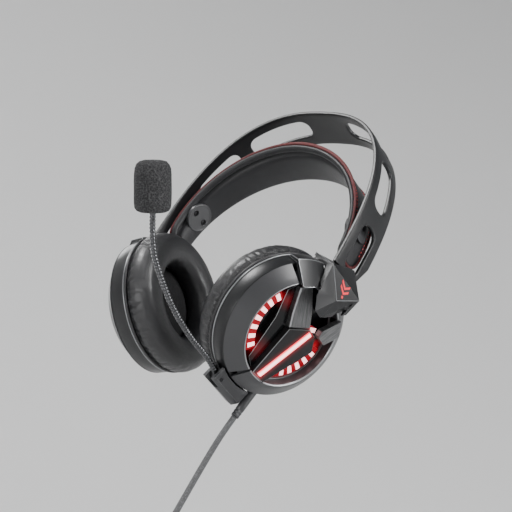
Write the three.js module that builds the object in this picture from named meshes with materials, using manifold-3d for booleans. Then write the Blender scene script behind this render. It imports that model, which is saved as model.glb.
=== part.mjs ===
// Over-ear gaming headset: outer bow, self-adjusting strap, two tilting ear cups,
// a microphone boom and a braided USB lead.
// Millimetres, +Z up towards the crown, -Y towards the wearer's front, +X the wearer's left.
// The origin is the underside of the strap at the crown, where the headset rests on a head.
import * as THREE from 'three';
import { mergeVertices } from 'three/addons/utils/BufferGeometryUtils.js';
import { ConvexGeometry } from 'three/addons/geometries/ConvexGeometry.js';
import Module from 'manifold-3d';

const wasm = await Module();
wasm.setup();

// ---------- driving dimensions ----------
const GAP = 0.3; // clearance between neighbouring pieces
const RIM_CUT = 0.4; // clearance of a notch round the piece that sits in it

// bow: a flat band bent to a squared-off arch
const BOW_HALF_SPAN = 88.8;
const BOW_RISE = 131.2;
const BOW_SQUARENESS = 2.54;
const BOW_CROWN_HEIGHT = 38.3;
const BOW_WIDTH = 34.5;
const BOW_THICKNESS = 3;
const BOW_TAIL = 5; // straight end below the arch, held in the hinge block
const BOW_END_CHAMFER = 7;
const BOW_SLOT_WIDTH = 17;
const CROWN_SLOT = [19, 72]; // slot ends as distances from the crown along the arch
const UPPER_SLOT = [84, 129];
const LOWER_SLOT = [145, 184];

// strap: a padded band on a round arch inside the bow; its crown's underside is at z = 0
const STRAP_SIDE_GAP = 3.4; // between the strap's legs and the bow
const STRAP_SPRING_HEIGHT = 13.4; // its arch springs this far above the bow's springing line
const STRAP_THICKNESS = 4.4;
const STRAP_CROWN_WIDTH = 38;
const STRAP_LEG_WIDTH = 24;
const STRAP_TIP_WIDTH = 14;
const STRAP_TAIL = 7.5; // straight run below the arch's springing line
const STRAP_EDGE = 0.35; // corner chamfer, as a share of the thickness
const CAP_RADIUS = 11.3;
const CAP_THICKNESS = 2.4;
const CAP_CHAMFER = 0.7;
const CAP_ANGLE = THREE.MathUtils.degToRad(14.5); // above the springing line
const SCREW_SPACING = 11;
const SCREW_HEAD_RADIUS = 1.9;
const SCREW_HEAD_HEIGHT = 1.1;
const SCREW_SHANK_RADIUS = 1.1;
const SCREW_LENGTH = 4.6;
const CLIP_WIDTH = 12;
const CLIP_LENGTH = 20;
const CLIP_THICKNESS = 1.4;

// ear cup: a short drum, then a cone down to a recessed face
const CUP_RADIUS = 50;
const CUP_TILT = THREE.MathUtils.degToRad(21.5); // bottoms lean inwards when nobody wears it
const CUP_FORWARD = 2;
const CUP_DROP = 4.7; // bow's springing line to the top of the cup's rim
const DRUM_DEPTH = 12.7;
const DRUM_TAPER = 1.1;
const DRUM_WALL = 2.2;
const BEZEL_DEPTH = 9.5;
const BEZEL_OPENING = 37.6;
const BEZEL_WALL = 1.6;
const NOTCH_WIDTH = 3.2;
const NOTCH_ANGLES = [138, 262]; // degrees round the cup from the rear
const FACE_DEPTH = 8.8; // recessed face below the bezel's edge
const FACE_THICKNESS = 1.6;
const BLADE_THICKNESS = 5;
const SIDE_BLADE_RISE = 2.3;
const PANEL_THICKNESS = 2;
const LIGHT_INSET = 7.2; // middle of a row of light windows inside the bezel's opening
const LIGHT_RADIAL = 5.4;
const LIGHT_PITCH = THREE.MathUtils.degToRad(12.2);
const LIGHT_ARC = THREE.MathUtils.degToRad(8.2);
const LIGHT_THICKNESS = 1.6;
const UPPER_LIGHTS = { count: 7, middle: THREE.MathUtils.degToRad(199.5), height: 4.4 };
const LOWER_LIGHTS = { count: 5, middle: THREE.MathUtils.degToRad(-18), height: 2.2 };
const BAR_WIDTH = 3;
const BAR_SEAT = 2.5; // floor of the bar's groove above the face

// outlines on the recessed face as [rear, up], drawn for a bezel opening of this radius
const OUTLINE_OPENING = 37.6;
const UPPER_BLADE = [[-25, 24.2], [-17.2, 30.9], [-0.8, 19.4], [7, 12.2], [-7.1, 1.6], [-14, 9]];
const SIDE_BLADE = [[14.8, 17.4], [20.9, 32.2], [29.1, 24.4], [27.9, 20.5], [24.4, 12.2], [16.2, 12.6]];
const WEDGE = [
  [-6.2, 0.9], [7.8, 11.6], [15.5, 11.2], [23.5, 3], [14.6, -24.5], [10.5, -36.4], [-2.4, -36.6],
];
const BAR_ENDS = [[3.6, -34.3], [10.6, 9.6]];
const TOP_PANEL = [[-27.2, 24.9], [-15, 35.2], [-20, 55], [-40.7, 39.6]];

// inside of the cup
const BAFFLE_SEAT = 0.6; // baffle's front above the cushion seam
const BAFFLE_THICKNESS = 2;
const BAFFLE_LIP = 3; // overlap of the baffle over the driver's edge
const DRIVER_RADIUS = 25;
const DRIVER_DEPTH = 3.6;
const MAGNET_RADIUS = 12;
const MAGNET_CLEARANCE = 1.1; // magnet to the back of the face
const BOARD_THICKNESS = 1.2;
const BOARD_CLEARANCE = 1;

// ear cushion
const CUSHION_OVERHANG = 1.5; // cushion beyond the cup's rim
const CUSHION_HOLE = 27;
const CUSHION_DEPTH = 22.5;
const CLOTH_THICKNESS = 1.2;

// hinge between bow and cup
const PIN_RADIUS = 1.6;
const PIN_OUTSET = 5.7; // pin beyond the bow's half span
const PIN_ABOVE_BEZEL = 4.8; // pin axis proud of the bezel's edge
const PIN_ABOVE_OPENING = 2.4; // pin axis above the bezel's opening
const LUG_WIDTH = 7;
const LUG_OFFSET = 5.5; // lug centre behind the middle of the bow
const KNUCKLE_RADIUS = 3.5;
const BLOCK_FRONT = 3.2; // block beyond the bow's front edge
const BLOCK_REAR = 3.8; // block short of the bow's rear edge
const SWING_IN = THREE.MathUtils.degToRad(2);
const SWING_OUT = THREE.MathUtils.degToRad(26);
const SWING_CLEARANCE = 1.2;

// microphone
const MIC_HOUSING = { front: -13, back: 18, inner: 0.6, outer: 12, height: 10.6, chamfer: 4 };
const BOOM_RADIUS = 2.1;
const BOOM_PIN = { rear: -8, below: 5, radius: 1.3 }; // below the drum
const FORK_CLEARANCE = 1.2;
const BOOM_KNUCKLE_RADIUS = 4;
const BOOM_KNUCKLE_WIDTH = 5.6;
const FOAM_RADIUS = 12;
const FOAM_LENGTH = 33;
const CAPSULE_RADIUS = 4.8;
const CAPSULE_LENGTH = 18;
// the boom's bent line from its pin to the foam, as steps [outwards, rear, up]
const BOOM_ROUTE = [
  [0, -3, 0.8], [-0.1, -17.8, 3.1], [-1.8, -40.9, 4], [-4.3, -64.4, 7.8],
  [-7.8, -83.7, 14.1], [-11.3, -98.7, 20.7], [-15.3, -110.6, 29.9], [-19.3, -122, 40.8],
];

// lead
const LEAD_RADIUS = 2.1;
const RELIEF_RADIUS = 3.3;
const RELIEF_TIP_RADIUS = 2.9;
const RELIEF_LENGTH = 21;
const RELIEF_SEAT = 3; // sunk in the drum before it is trimmed to the wall
const RELIEF_PLACE = { outwards: 8, rear: 23 };
const RELIEF_DIRECTION = [-0.15, 0, -1];
// the hanging lead, as steps from the relief's tip
const LEAD_ROUTE = [
  [-0.05, 0, -0.3], [-1.3, 0, -9], [-2.4, 0, -20], [-3, 0, -34],
  [-3.3, 0, -50], [-3.4, 0, -68], [-3.4, 0, -86], [-3.4, 0, -104], [-3.4, 0, -122],
];
const COIL_MIDDLE_RADIUS = 25;
const COIL_HALF_WIDTH = 6.6;
const COIL_HALF_DEPTH = 8.6;
const COIL_CHAMFER = 2;
const TIE_WIDTH = 8;
const TIE_WALL = 1.6;
const PLUG_BODY = { width: 16, thickness: 8, length: 34 };
const PLUG_SHELL = { width: 12, thickness: 4.5, length: 14, wall: 0.5 };
const PLUG_TOP = 4; // top of the plug above the coil's middle
const PLUG_LEAD_LENGTH = 14;

// ---------- materials ----------
const finish = (color, roughness, metalness) =>
  new THREE.MeshStandardMaterial({ color, roughness, metalness });
const CHARCOAL = () => finish(0x26272a, 0.45, 0);
const SATIN = () => finish(0x3a3b3f, 0.4, 0.1);
const GLOSS = () => finish(0x140607, 0.15, 0);
const BRUSHED = () => finish(0x55575b, 0.35, 0.9);
const LEATHER = () => finish(0x17181a, 0.55, 0);
const MESH_CLOTH = () => finish(0x101113, 0.95, 0);
const FOAM = () => finish(0x1b1c1e, 1, 0);
const STEEL = () => finish(0x9a9c9f, 0.3, 1);
const LAMP = () => finish(0xff3b3b, 0.3, 0);
const BOARD = () => finish(0x0f3d26, 0.6, 0);
const RUBBER = () => finish(0x1d1e20, 0.7, 0);

// ---------- solids ----------
const headset = new THREE.Group();
const mirror = new THREE.Matrix4().makeScale(-1, 1, 1);

function bare(geometry) {
  const copy = geometry.clone();
  copy.deleteAttribute('normal');
  copy.deleteAttribute('uv');
  return mergeVertices(copy, 1e-4);
}

function volume(geometry) {
  const p = geometry.attributes.position;
  const index = geometry.index.array;
  const [a, b, c] = [new THREE.Vector3(), new THREE.Vector3(), new THREE.Vector3()];
  let sum = 0;
  for (let i = 0; i < index.length; i += 3) {
    a.fromBufferAttribute(p, index[i]);
    b.fromBufferAttribute(p, index[i + 1]);
    c.fromBufferAttribute(p, index[i + 2]);
    sum += a.dot(b.cross(c)) / 6;
  }
  return sum;
}

function flipped(geometry) {
  const index = Array.from(geometry.index.array);
  for (let i = 0; i < index.length; i += 3) [index[i], index[i + 1]] = [index[i + 1], index[i]];
  geometry.setIndex(index);
  return geometry;
}

// one welded body whose faces point out
function solid(geometry) {
  const body = bare(geometry);
  return volume(body) < 0 ? flipped(body) : body;
}

function toManifold(geometry) {
  const body = solid(geometry);
  return new wasm.Manifold(new wasm.Mesh({
    numProp: 3,
    vertProperties: new Float32Array(body.attributes.position.array),
    triVerts: new Uint32Array(body.index.array),
  }));
}

function fromManifold(manifold) {
  const mesh = manifold.getMesh();
  const geometry = new THREE.BufferGeometry();
  geometry.setAttribute('position', new THREE.BufferAttribute(new Float32Array(mesh.vertProperties), 3));
  geometry.setIndex(Array.from(mesh.triVerts));
  return geometry;
}

const cut = (base, ...tools) =>
  fromManifold(tools.reduce((m, tool) => m.subtract(toManifold(tool)), toManifold(base)));
const join = (base, ...parts) =>
  fromManifold(parts.reduce((m, part) => m.add(toManifold(part)), toManifold(base)));
const common = (a, b) => fromManifold(toManifold(a).intersect(toManifold(b)));

function add(name, geometry, material) {
  const mesh = new THREE.Mesh(geometry, material);
  mesh.name = name;
  headset.add(mesh);
}

function box(x0, x1, y0, y1, z0, z1) {
  return new THREE.BoxGeometry(x1 - x0, y1 - y0, z1 - z0)
    .translate((x0 + x1) / 2, (y0 + y1) / 2, (z0 + z1) / 2);
}

// prism over an outline in the YZ plane, from x0 to x1
function prismX(outline, x0, x1, curveSegments = 6) {
  const shape = outline instanceof THREE.Shape
    ? outline : new THREE.Shape(outline.map(([y, z]) => new THREE.Vector2(y, z)));
  const geometry = new THREE.ExtrudeGeometry(shape, { depth: x1 - x0, bevelEnabled: false, curveSegments });
  const turn = new THREE.Matrix4().makeBasis(
    new THREE.Vector3(0, 1, 0), new THREE.Vector3(0, 0, 1), new THREE.Vector3(1, 0, 0));
  return geometry.applyMatrix4(turn).translate(x0, 0, 0);
}

// prism over an outline in the XZ plane, from y0 to y1
function prismY(outline, y0, y1) {
  const shape = new THREE.Shape(outline.map(([x, z]) => new THREE.Vector2(x, z)));
  const geometry = new THREE.ExtrudeGeometry(shape, { depth: y1 - y0, bevelEnabled: false });
  const turn = new THREE.Matrix4().makeBasis(
    new THREE.Vector3(1, 0, 0), new THREE.Vector3(0, 0, 1), new THREE.Vector3(0, -1, 0));
  return geometry.applyMatrix4(turn).translate(0, y1, 0);
}

// ring or disc turned about the X axis; the profile is a list of [radius, x]
function turned(profile, segments) {
  const points = profile.map(([r, x]) => new THREE.Vector2(Math.max(r, 0), x));
  if (profile[0][0] > 0) points.push(points[0].clone());
  return new THREE.LatheGeometry(points, segments).rotateZ(-Math.PI / 2);
}

// cylinder along the Y axis
function rodY(radius, x, z, y0, y1, segments = 20) {
  return new THREE.CylinderGeometry(radius, radius, y1 - y0, segments).translate(x, (y0 + y1) / 2, z);
}

// cylinder along the X axis
function rodX(radius, y, z, x0, x1, segments = 20) {
  return new THREE.CylinderGeometry(radius, radius, x1 - x0, segments)
    .rotateZ(Math.PI / 2).translate((x0 + x1) / 2, y, z);
}

// closed body through rings of points, all rings the same length
function loft(rings) {
  const count = rings[0].length;
  const positions = rings.flat().flatMap((p) => [p.x, p.y, p.z]);
  const index = [];
  for (let i = 0; i < rings.length - 1; i++) {
    for (let j = 0; j < count; j++) {
      const [a, b] = [i * count + j, i * count + (j + 1) % count];
      index.push(a, b, b + count, a, b + count, a + count);
    }
  }
  const last = (rings.length - 1) * count;
  for (let j = 1; j < count - 1; j++) {
    index.push(0, j + 1, j, last, last + j, last + j + 1);
  }
  const geometry = new THREE.BufferGeometry();
  geometry.setAttribute('position', new THREE.Float32BufferAttribute(positions, 3));
  geometry.setIndex(index);
  return solid(geometry);
}

// round tube along a curve
function tube(curve, radius, sides, steps) {
  const shape = new THREE.Shape(new THREE.EllipseCurve(0, 0, radius, radius, 0, 2 * Math.PI)
    .getPoints(sides).slice(0, -1));
  return new THREE.ExtrudeGeometry(shape, { extrudePath: curve, steps, bevelEnabled: false });
}

// outline of a convex polygon moved outwards by a distance
function grown(outline, distance) {
  const n = outline.length;
  const area = outline.reduce((s, [x, y], i) => {
    const [u, v] = outline[(i + 1) % n];
    return s + x * v - u * y;
  }, 0);
  const sign = Math.sign(area);
  return outline.map(([x, y], i) => {
    const [px, py] = outline[(i + n - 1) % n];
    const [qx, qy] = outline[(i + 1) % n];
    const a = new THREE.Vector2(y - py, px - x).normalize().multiplyScalar(sign);
    const b = new THREE.Vector2(qy - y, x - qx).normalize().multiplyScalar(sign);
    const scale = distance / (1 + a.dot(b));
    return [x + (a.x + b.x) * scale, y + (a.y + b.y) * scale];
  });
}

// ---------- arches ----------
// an arch in the XZ plane: angle 0 is its crown, +-90 degrees its springing line at z = base
const bowEndZ = BOW_CROWN_HEIGHT - BOW_RISE;
const strapEndZ = bowEndZ + STRAP_SPRING_HEIGHT;
const BOW_ARCH = { halfSpan: BOW_HALF_SPAN, rise: BOW_RISE, squareness: BOW_SQUARENESS, base: bowEndZ };
const STRAP_ARCH = {
  halfSpan: BOW_HALF_SPAN - BOW_THICKNESS / 2 - STRAP_SIDE_GAP - STRAP_THICKNESS / 2,
  rise: STRAP_THICKNESS / 2 - strapEndZ,
  squareness: 2,
  base: strapEndZ,
};

// point of an arch's middle line and its outward normal, the point moved out by an offset
function archPoint({ halfSpan, rise, squareness, base }, angle, offset = 0) {
  const power = 2 / squareness;
  const at = (t) => new THREE.Vector2(
    halfSpan * Math.sign(Math.sin(t)) * Math.abs(Math.sin(t)) ** power,
    rise * Math.abs(Math.cos(t)) ** power + base);
  const step = 1e-3;
  const before = at(Math.max(angle - step, -Math.PI / 2));
  const after = at(Math.min(angle + step, Math.PI / 2));
  const normal = new THREE.Vector2(before.y - after.y, after.x - before.x).normalize();
  return { point: at(angle).addScaledVector(normal, offset), normal };
}

// ---------- bow ----------
// angles along the bow, closer near its ends, where it turns fastest per degree
function bowAngles(steps) {
  return Array.from({ length: steps + 1 }, (_, i) => {
    const s = (2 * i) / steps - 1;
    return Math.sign(s) * (Math.PI / 2) * (1 - (1 - Math.abs(s)) ** 1.25);
  });
}

// angle at a distance along the arch from the crown
function bowAngleAt(distance) {
  let length = 0;
  let previous = archPoint(BOW_ARCH, 0).point;
  const steps = 400;
  for (let i = 1; i <= steps; i++) {
    const angle = (i / steps) * (Math.PI / 2);
    const { point } = archPoint(BOW_ARCH, angle);
    length += point.distanceTo(previous);
    if (length >= distance) return angle;
    previous = point;
  }
  return Math.PI / 2;
}

// a slot cutter: a rounded rectangle pushed through the band at right angles to it
function bowSlot([from, to], side) {
  const a = archPoint(BOW_ARCH, bowAngleAt(from)).point;
  const b = archPoint(BOW_ARCH, bowAngleAt(to)).point;
  const length = a.distanceTo(b);
  const [h, w, r] = [length / 2, BOW_SLOT_WIDTH / 2, BOW_SLOT_WIDTH * 0.38];
  const shape = new THREE.Shape();
  shape.moveTo(-h + r, -w).lineTo(h - r, -w).absarc(h - r, -w + r, r, -Math.PI / 2, 0)
    .lineTo(h, w - r).absarc(h - r, w - r, r, 0, Math.PI / 2)
    .lineTo(-h + r, w).absarc(-h + r, w - r, r, Math.PI / 2, Math.PI)
    .lineTo(-h, -w + r).absarc(-h + r, -w + r, r, Math.PI, 1.5 * Math.PI);
  const reach = 14;
  const along = new THREE.Vector3(b.x - a.x, 0, b.y - a.y).normalize();
  const across = new THREE.Vector3(0, 1, 0);
  const out = new THREE.Vector3().crossVectors(along, across);
  const middle = new THREE.Vector3((a.x + b.x) / 2, 0, (a.y + b.y) / 2).addScaledVector(out, -reach);
  const options = { depth: 2 * reach, bevelEnabled: false, curveSegments: 3 };
  const cutter = new THREE.ExtrudeGeometry(shape, options)
    .applyMatrix4(new THREE.Matrix4().makeBasis(along, across, out).setPosition(middle));
  return side > 0 ? cutter : cutter.applyMatrix4(mirror);
}

function bowOutline() {
  const half = BOW_THICKNESS / 2;
  const angles = bowAngles(40);
  const end = bowEndZ - BOW_TAIL;
  const outer = angles.map((t) => archPoint(BOW_ARCH, t, half).point.toArray());
  const inner = angles.map((t) => archPoint(BOW_ARCH, t, -half).point.toArray()).reverse();
  return [
    ...outer, [BOW_HALF_SPAN + half, end], [BOW_HALF_SPAN - half, end],
    ...inner, [-BOW_HALF_SPAN + half, end], [-BOW_HALF_SPAN - half, end],
  ];
}

function bow() {
  const half = BOW_WIDTH / 2;
  const band = prismY(bowOutline(), -half, half);
  const low = bowEndZ - BOW_TAIL - 1;
  const corner = prismX([[half + 1, bowEndZ + 16], [half + 1, low], [half - BOW_END_CHAMFER, low]],
    -BOW_HALF_SPAN - BOW_THICKNESS, BOW_HALF_SPAN + BOW_THICKNESS);
  const slots = [1, -1].flatMap((side) =>
    [CROWN_SLOT, UPPER_SLOT, LOWER_SLOT].map((slot) => bowSlot(slot, side)));
  return cut(band, corner, ...slots);
}

// ---------- strap ----------
// width of the strap at an angle from the crown
function strapWidth(angle) {
  const leg = Math.min(Math.abs(angle) / (Math.PI / 2), 1);
  return STRAP_CROWN_WIDTH + (STRAP_LEG_WIDTH - STRAP_CROWN_WIDTH) * leg ** 1.5;
}

// section of the strap round a point of its middle line, with chamfered corners
function strapRing(point, normal, width) {
  const [h, t, e] = [width / 2, STRAP_THICKNESS / 2, STRAP_THICKNESS * STRAP_EDGE];
  const section = [
    [-h, -e], [-h + e, -t], [h - e, -t], [h, -e], [h, e], [h - e, t], [-h + e, t], [-h, e],
  ];
  return section.map(([y, n]) => new THREE.Vector3(point.x + normal.x * n, y, point.y + normal.y * n));
}

// rings of the rounded tongue below the springing line
function strapTip(side) {
  const normal = new THREE.Vector2(side, 0);
  return [0, 0.45, 0.75, 1].map((s) => {
    const point = new THREE.Vector2(side * STRAP_ARCH.halfSpan, strapEndZ - STRAP_TAIL * s);
    return strapRing(point, normal, STRAP_LEG_WIDTH + (STRAP_TIP_WIDTH - STRAP_LEG_WIDTH) * s ** 2.2);
  });
}

function strap() {
  const steps = 34;
  const arch = Array.from({ length: steps - 1 }, (_, i) => {
    const angle = ((i + 1) / steps - 0.5) * Math.PI;
    const { point, normal } = archPoint(STRAP_ARCH, angle);
    return strapRing(point, normal, strapWidth(angle));
  });
  const body = loft([...strapTip(-1).reverse(), ...arch, ...strapTip(1)]);
  const depth = SCREW_LENGTH - CAP_THICKNESS + 2 * GAP;
  const holes = [1, -1].flatMap((side) => screwPlaces.map((y) =>
    onStrap(rodX(SCREW_SHANK_RADIUS + GAP, y, 0, -CAP_THICKNESS, depth, 10), side)));
  return cut(body, ...holes);
}

const screwPlaces = [-SCREW_SPACING / 2, SCREW_SPACING / 2];
const capPlace = archPoint(STRAP_ARCH, Math.PI / 2 - CAP_ANGLE, -STRAP_THICKNESS / 2);

// radius of the strap's inner face where the cap sits
function strapBend() {
  const { halfSpan, rise } = STRAP_ARCH;
  const [s, c] = [Math.cos(CAP_ANGLE), Math.sin(CAP_ANGLE)];
  return ((halfSpan * c) ** 2 + (rise * s) ** 2) ** 1.5 / (halfSpan * rise) - STRAP_THICKNESS / 2;
}

// moves a piece from a flat frame, x = outwards from the strap's inner face, to the strap's leg
function onStrap(geometry, side, outset = 0) {
  const { point, normal } = capPlace;
  const pose = new THREE.Matrix4().makeBasis(
    new THREE.Vector3(normal.x, 0, normal.y), new THREE.Vector3(0, 1, 0),
    new THREE.Vector3(-normal.y, 0, normal.x)).setPosition(point.x, 0, point.y);
  const left = geometry.translate(outset, 0, 0).applyMatrix4(pose);
  return side > 0 ? left : left.applyMatrix4(mirror);
}

function strapCap(side) {
  const t = CAP_THICKNESS;
  const blank = turned([
    [0, 1], [CAP_RADIUS, 1], [CAP_RADIUS, -t], [CAP_RADIUS - CAP_CHAMFER, -t - GAP], [0, -t - GAP],
  ], 28);
  const bend = strapBend();
  const inside = rodY(bend - GAP, -bend, 0, -STRAP_CROWN_WIDTH, STRAP_CROWN_WIDTH, 80);
  const disc = common(blank, inside);
  const seats = screwPlaces.flatMap((y) => [
    rodX(SCREW_HEAD_RADIUS + GAP, y, 0, -t - 1, -t + SCREW_HEAD_HEIGHT, 14),
    rodX(SCREW_SHANK_RADIUS + GAP, y, 0, -t, 1, 10),
  ]);
  return onStrap(cut(disc, ...seats), side);
}

function capScrew(y, side) {
  const front = -CAP_THICKNESS;
  const head = rodX(SCREW_HEAD_RADIUS, y, 0, front, front + SCREW_HEAD_HEIGHT - GAP, 14);
  const shank = rodX(SCREW_SHANK_RADIUS, y, 0, front + 0.2, front + SCREW_LENGTH, 10);
  return onStrap(join(head, shank), side);
}

function sliderClip(side) {
  const [w, h] = [CLIP_WIDTH / 2, (CLIP_LENGTH - CLIP_WIDTH) / 2];
  const shape = new THREE.Shape();
  shape.absarc(0, -h, w, Math.PI, 2 * Math.PI).absarc(0, h, w, 0, Math.PI);
  const eye = new THREE.Path().absarc(0, h * 0.6, w * 0.34, 0, 2 * Math.PI, true);
  shape.holes.push(eye);
  const plate = prismX(shape, GAP, GAP + CLIP_THICKNESS, 10);
  return onStrap(plate, side, STRAP_THICKNESS);
}

// ---------- ear cup ----------
// cup frame: x outwards along the cup's axis from the cushion seam, y to the rear, z up
const bezelEdge = DRUM_DEPTH + BEZEL_DEPTH;
const drumOuter = CUP_RADIUS - DRUM_TAPER;
const faceTop = bezelEdge - FACE_DEPTH;
const pinX = bezelEdge + PIN_ABOVE_BEZEL;
const pinZ = BEZEL_OPENING + PIN_ABOVE_OPENING;
const outwards = new THREE.Vector3(Math.cos(CUP_TILT), 0, -Math.sin(CUP_TILT));
const upwards = new THREE.Vector3(Math.sin(CUP_TILT), 0, Math.cos(CUP_TILT));
const cupCentre = new THREE.Vector3(
  BOW_HALF_SPAN + PIN_OUTSET - outwards.x * pinX - upwards.x * pinZ,
  -CUP_FORWARD,
  bowEndZ - CUP_DROP - CUP_RADIUS * upwards.z);
const cupPose = new THREE.Matrix4()
  .makeBasis(outwards, new THREE.Vector3(0, 1, 0), upwards).setPosition(cupCentre);
const pinPlace = new THREE.Vector3(pinX, 0, pinZ).applyMatrix4(cupPose);

// adds a piece modelled in the left cup's frame, on the left or on both cups
function onCup(name, geometry, material) {
  add(name, solid(geometry.clone().applyMatrix4(cupPose)), material);
}

function onBothCups(name, geometry, material) {
  const placed = geometry.clone().applyMatrix4(cupPose);
  add(`left_${name}`, solid(placed), material());
  add(`right_${name}`, solid(placed.clone().applyMatrix4(mirror)), material());
}

const onFace = (outline) => outline.map(([y, z]) =>
  [(y * BEZEL_OPENING) / OUTLINE_OPENING, (z * BEZEL_OPENING) / OUTLINE_OPENING]);
const upperBlade = onFace(UPPER_BLADE);
const sideBlade = onFace(SIDE_BLADE);
const wedgeOutline = onFace(WEDGE);
const panelOutline = onFace(TOP_PANEL);

function barOutline(width) {
  const [[y0, z0], [y1, z1]] = onFace(BAR_ENDS);
  const along = new THREE.Vector2(y1 - y0, z1 - z0).normalize();
  const [sy, sz] = [-along.y * width / 2, along.x * width / 2];
  return [[y0 - sy, z0 - sz], [y1 - sy, z1 - sz], [y1 + sy, z1 + sz], [y0 + sy, z0 + sz]];
}

function drum() {
  const [r, s, w] = [CUP_RADIUS, drumOuter, DRUM_WALL];
  const back = DRUM_DEPTH - GAP;
  return turned([[r, 0], [r, 1.2], [r - 0.5, 1.7], [s, back], [s - w, back], [r - w, 0]], 48);
}

function bezel() {
  const [o, t] = [BEZEL_OPENING, BEZEL_WALL];
  const ring = turned([
    [drumOuter, DRUM_DEPTH], [o + 1.2, bezelEdge - 0.3], [o, bezelEdge], [o - 1, bezelEdge - 0.6],
    [o - t, faceTop - FACE_THICKNESS], [o, faceTop - FACE_THICKNESS], [o + 0.8, bezelEdge - 2.6],
    [drumOuter - DRUM_WALL, DRUM_DEPTH],
  ], 48);
  const blades = [upperBlade, sideBlade, wedgeOutline].map((outline) =>
    prismX(grown(outline, RIM_CUT), faceTop - FACE_THICKNESS - 1, bezelEdge + BLADE_THICKNESS));
  const half = NOTCH_WIDTH / 2;
  const notch = [[o + 1, 0], [drumOuter + 1, -half], [drumOuter + 1, half]];
  const notches = NOTCH_ANGLES.map((degrees) =>
    prismX(notch, DRUM_DEPTH + 1.2, bezelEdge).rotateX(THREE.MathUtils.degToRad(degrees)));
  return cut(ring, ...blades, ...notches);
}

function facePlate() {
  const r = BEZEL_OPENING - BEZEL_WALL - GAP;
  const back = faceTop - FACE_THICKNESS;
  return turned([[0, back], [r, back], [r, faceTop], [0, faceTop]], 36);
}

// a skin over the drum and the cone, at a height above them and with a thickness
function coneSkin(lift, thickness) {
  const slope = (BEZEL_DEPTH - 0.3) / (drumOuter - BEZEL_OPENING - 1.2);
  const inner = BEZEL_OPENING - 2;
  const crest = DRUM_DEPTH + (drumOuter - inner) * slope + 1.6 * lift;
  return turned([
    [CUP_RADIUS + lift, 4], [drumOuter + 1.6 * lift, DRUM_DEPTH + lift], [inner, crest],
    [inner, crest + thickness], [CUP_RADIUS + lift + thickness, DRUM_DEPTH + lift + thickness / 2],
    [CUP_RADIUS + lift + thickness, 4],
  ], 48);
}

// the trapezoid collar that carries the upper blade over the cone
const topPanel = () => common(coneSkin(GAP, PANEL_THICKNESS), prismX(panelOutline, 0, bezelEdge + 8));

function blade(outline, rise = 0) {
  const top = bezelEdge + GAP + rise;
  return prismX(outline, top - BLADE_THICKNESS, top);
}

function wedge() {
  const body = prismX(wedgeOutline, faceTop + GAP, bezelEdge + GAP);
  return cut(body, prismX(grown(barOutline(BAR_WIDTH), GAP), faceTop + BAR_SEAT, bezelEdge + 2));
}

function lightBar() {
  return prismX(barOutline(BAR_WIDTH), faceTop + BAR_SEAT + GAP, bezelEdge + 2 * GAP);
}

function ringSector(r0, r1, from, to) {
  const shape = new THREE.Shape();
  shape.absarc(0, 0, r1, from, to, false).absarc(0, 0, r0, to, from, true);
  return shape;
}

// a row of light windows on one guide strip behind them
function lightArc({ count, middle, height }) {
  const top = faceTop + height;
  const radius = BEZEL_OPENING - LIGHT_INSET;
  const [r0, r1] = [radius - LIGHT_RADIAL / 2, radius + LIGHT_RADIAL / 2];
  const span = (count - 1) * LIGHT_PITCH + LIGHT_ARC;
  const guide = prismX(ringSector(r0 + 0.8, r1 - 0.8, middle - span / 2, middle + span / 2),
    faceTop + GAP, top - LIGHT_THICKNESS / 2, 5);
  const windows = Array.from({ length: count }, (_, i) => {
    const at = middle + (i - (count - 1) / 2) * LIGHT_PITCH;
    const window = ringSector(r0, r1, at - LIGHT_ARC / 2, at + LIGHT_ARC / 2);
    return prismX(window, top - LIGHT_THICKNESS, top, 1);
  });
  return join(guide, ...windows);
}

function hingeLug() {
  const middle = LUG_OFFSET + CUP_FORWARD;
  const [y0, y1] = [middle - LUG_WIDTH / 2, middle + LUG_WIDTH / 2];
  const inner = BEZEL_OPENING - BEZEL_WALL - 2.6;
  const k = KNUCKLE_RADIUS;
  const arm = [
    [faceTop + GAP, inner - 8], [bezelEdge - 1, inner - 8], [pinX + k * 0.7, pinZ - k * 0.7],
    [pinX - k * 0.7, pinZ + k * 0.7], [bezelEdge + 1.2, inner], [faceTop + GAP, inner],
  ];
  const body = join(prismY(arm, y0, y1), rodY(k, pinX, pinZ, y0, y1, 24));
  return cut(body, rodY(PIN_RADIUS + GAP, pinX, pinZ, y0 - 1, y1 + 1));
}

// ---------- inside the cup ----------
const baffleBack = BAFFLE_SEAT + BAFFLE_THICKNESS;
const driverBack = baffleBack + DRIVER_DEPTH;

function baffle() {
  const r = CUP_RADIUS - DRUM_WALL - 3 * GAP;
  const hole = DRIVER_RADIUS - BAFFLE_LIP;
  return turned([[hole, BAFFLE_SEAT], [r, BAFFLE_SEAT], [r, baffleBack], [hole, baffleBack]], 36);
}

function driver() {
  const from = baffleBack + GAP;
  return turned([
    [0, from + 1.5], [9, from + 1.5], [DRIVER_RADIUS - 4, from], [DRIVER_RADIUS, from],
    [DRIVER_RADIUS, from + 1.6], [MAGNET_RADIUS + 1, driverBack], [0, driverBack],
  ], 28);
}

function magnet() {
  const [from, to] = [driverBack + GAP, faceTop - FACE_THICKNESS - MAGNET_CLEARANCE];
  return turned([[0, from], [MAGNET_RADIUS, from], [MAGNET_RADIUS, to], [0, to]], 20);
}

function ledBoard() {
  const to = faceTop - FACE_THICKNESS - BOARD_CLEARANCE;
  const from = to - BOARD_THICKNESS;
  const [hole, r] = [MAGNET_RADIUS + 2, BEZEL_OPENING - BEZEL_WALL - 3];
  return turned([[hole, from], [r, from], [r, to], [hole, to]], 28);
}

const cushionRadius = CUP_RADIUS + CUSHION_OVERHANG;

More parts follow.
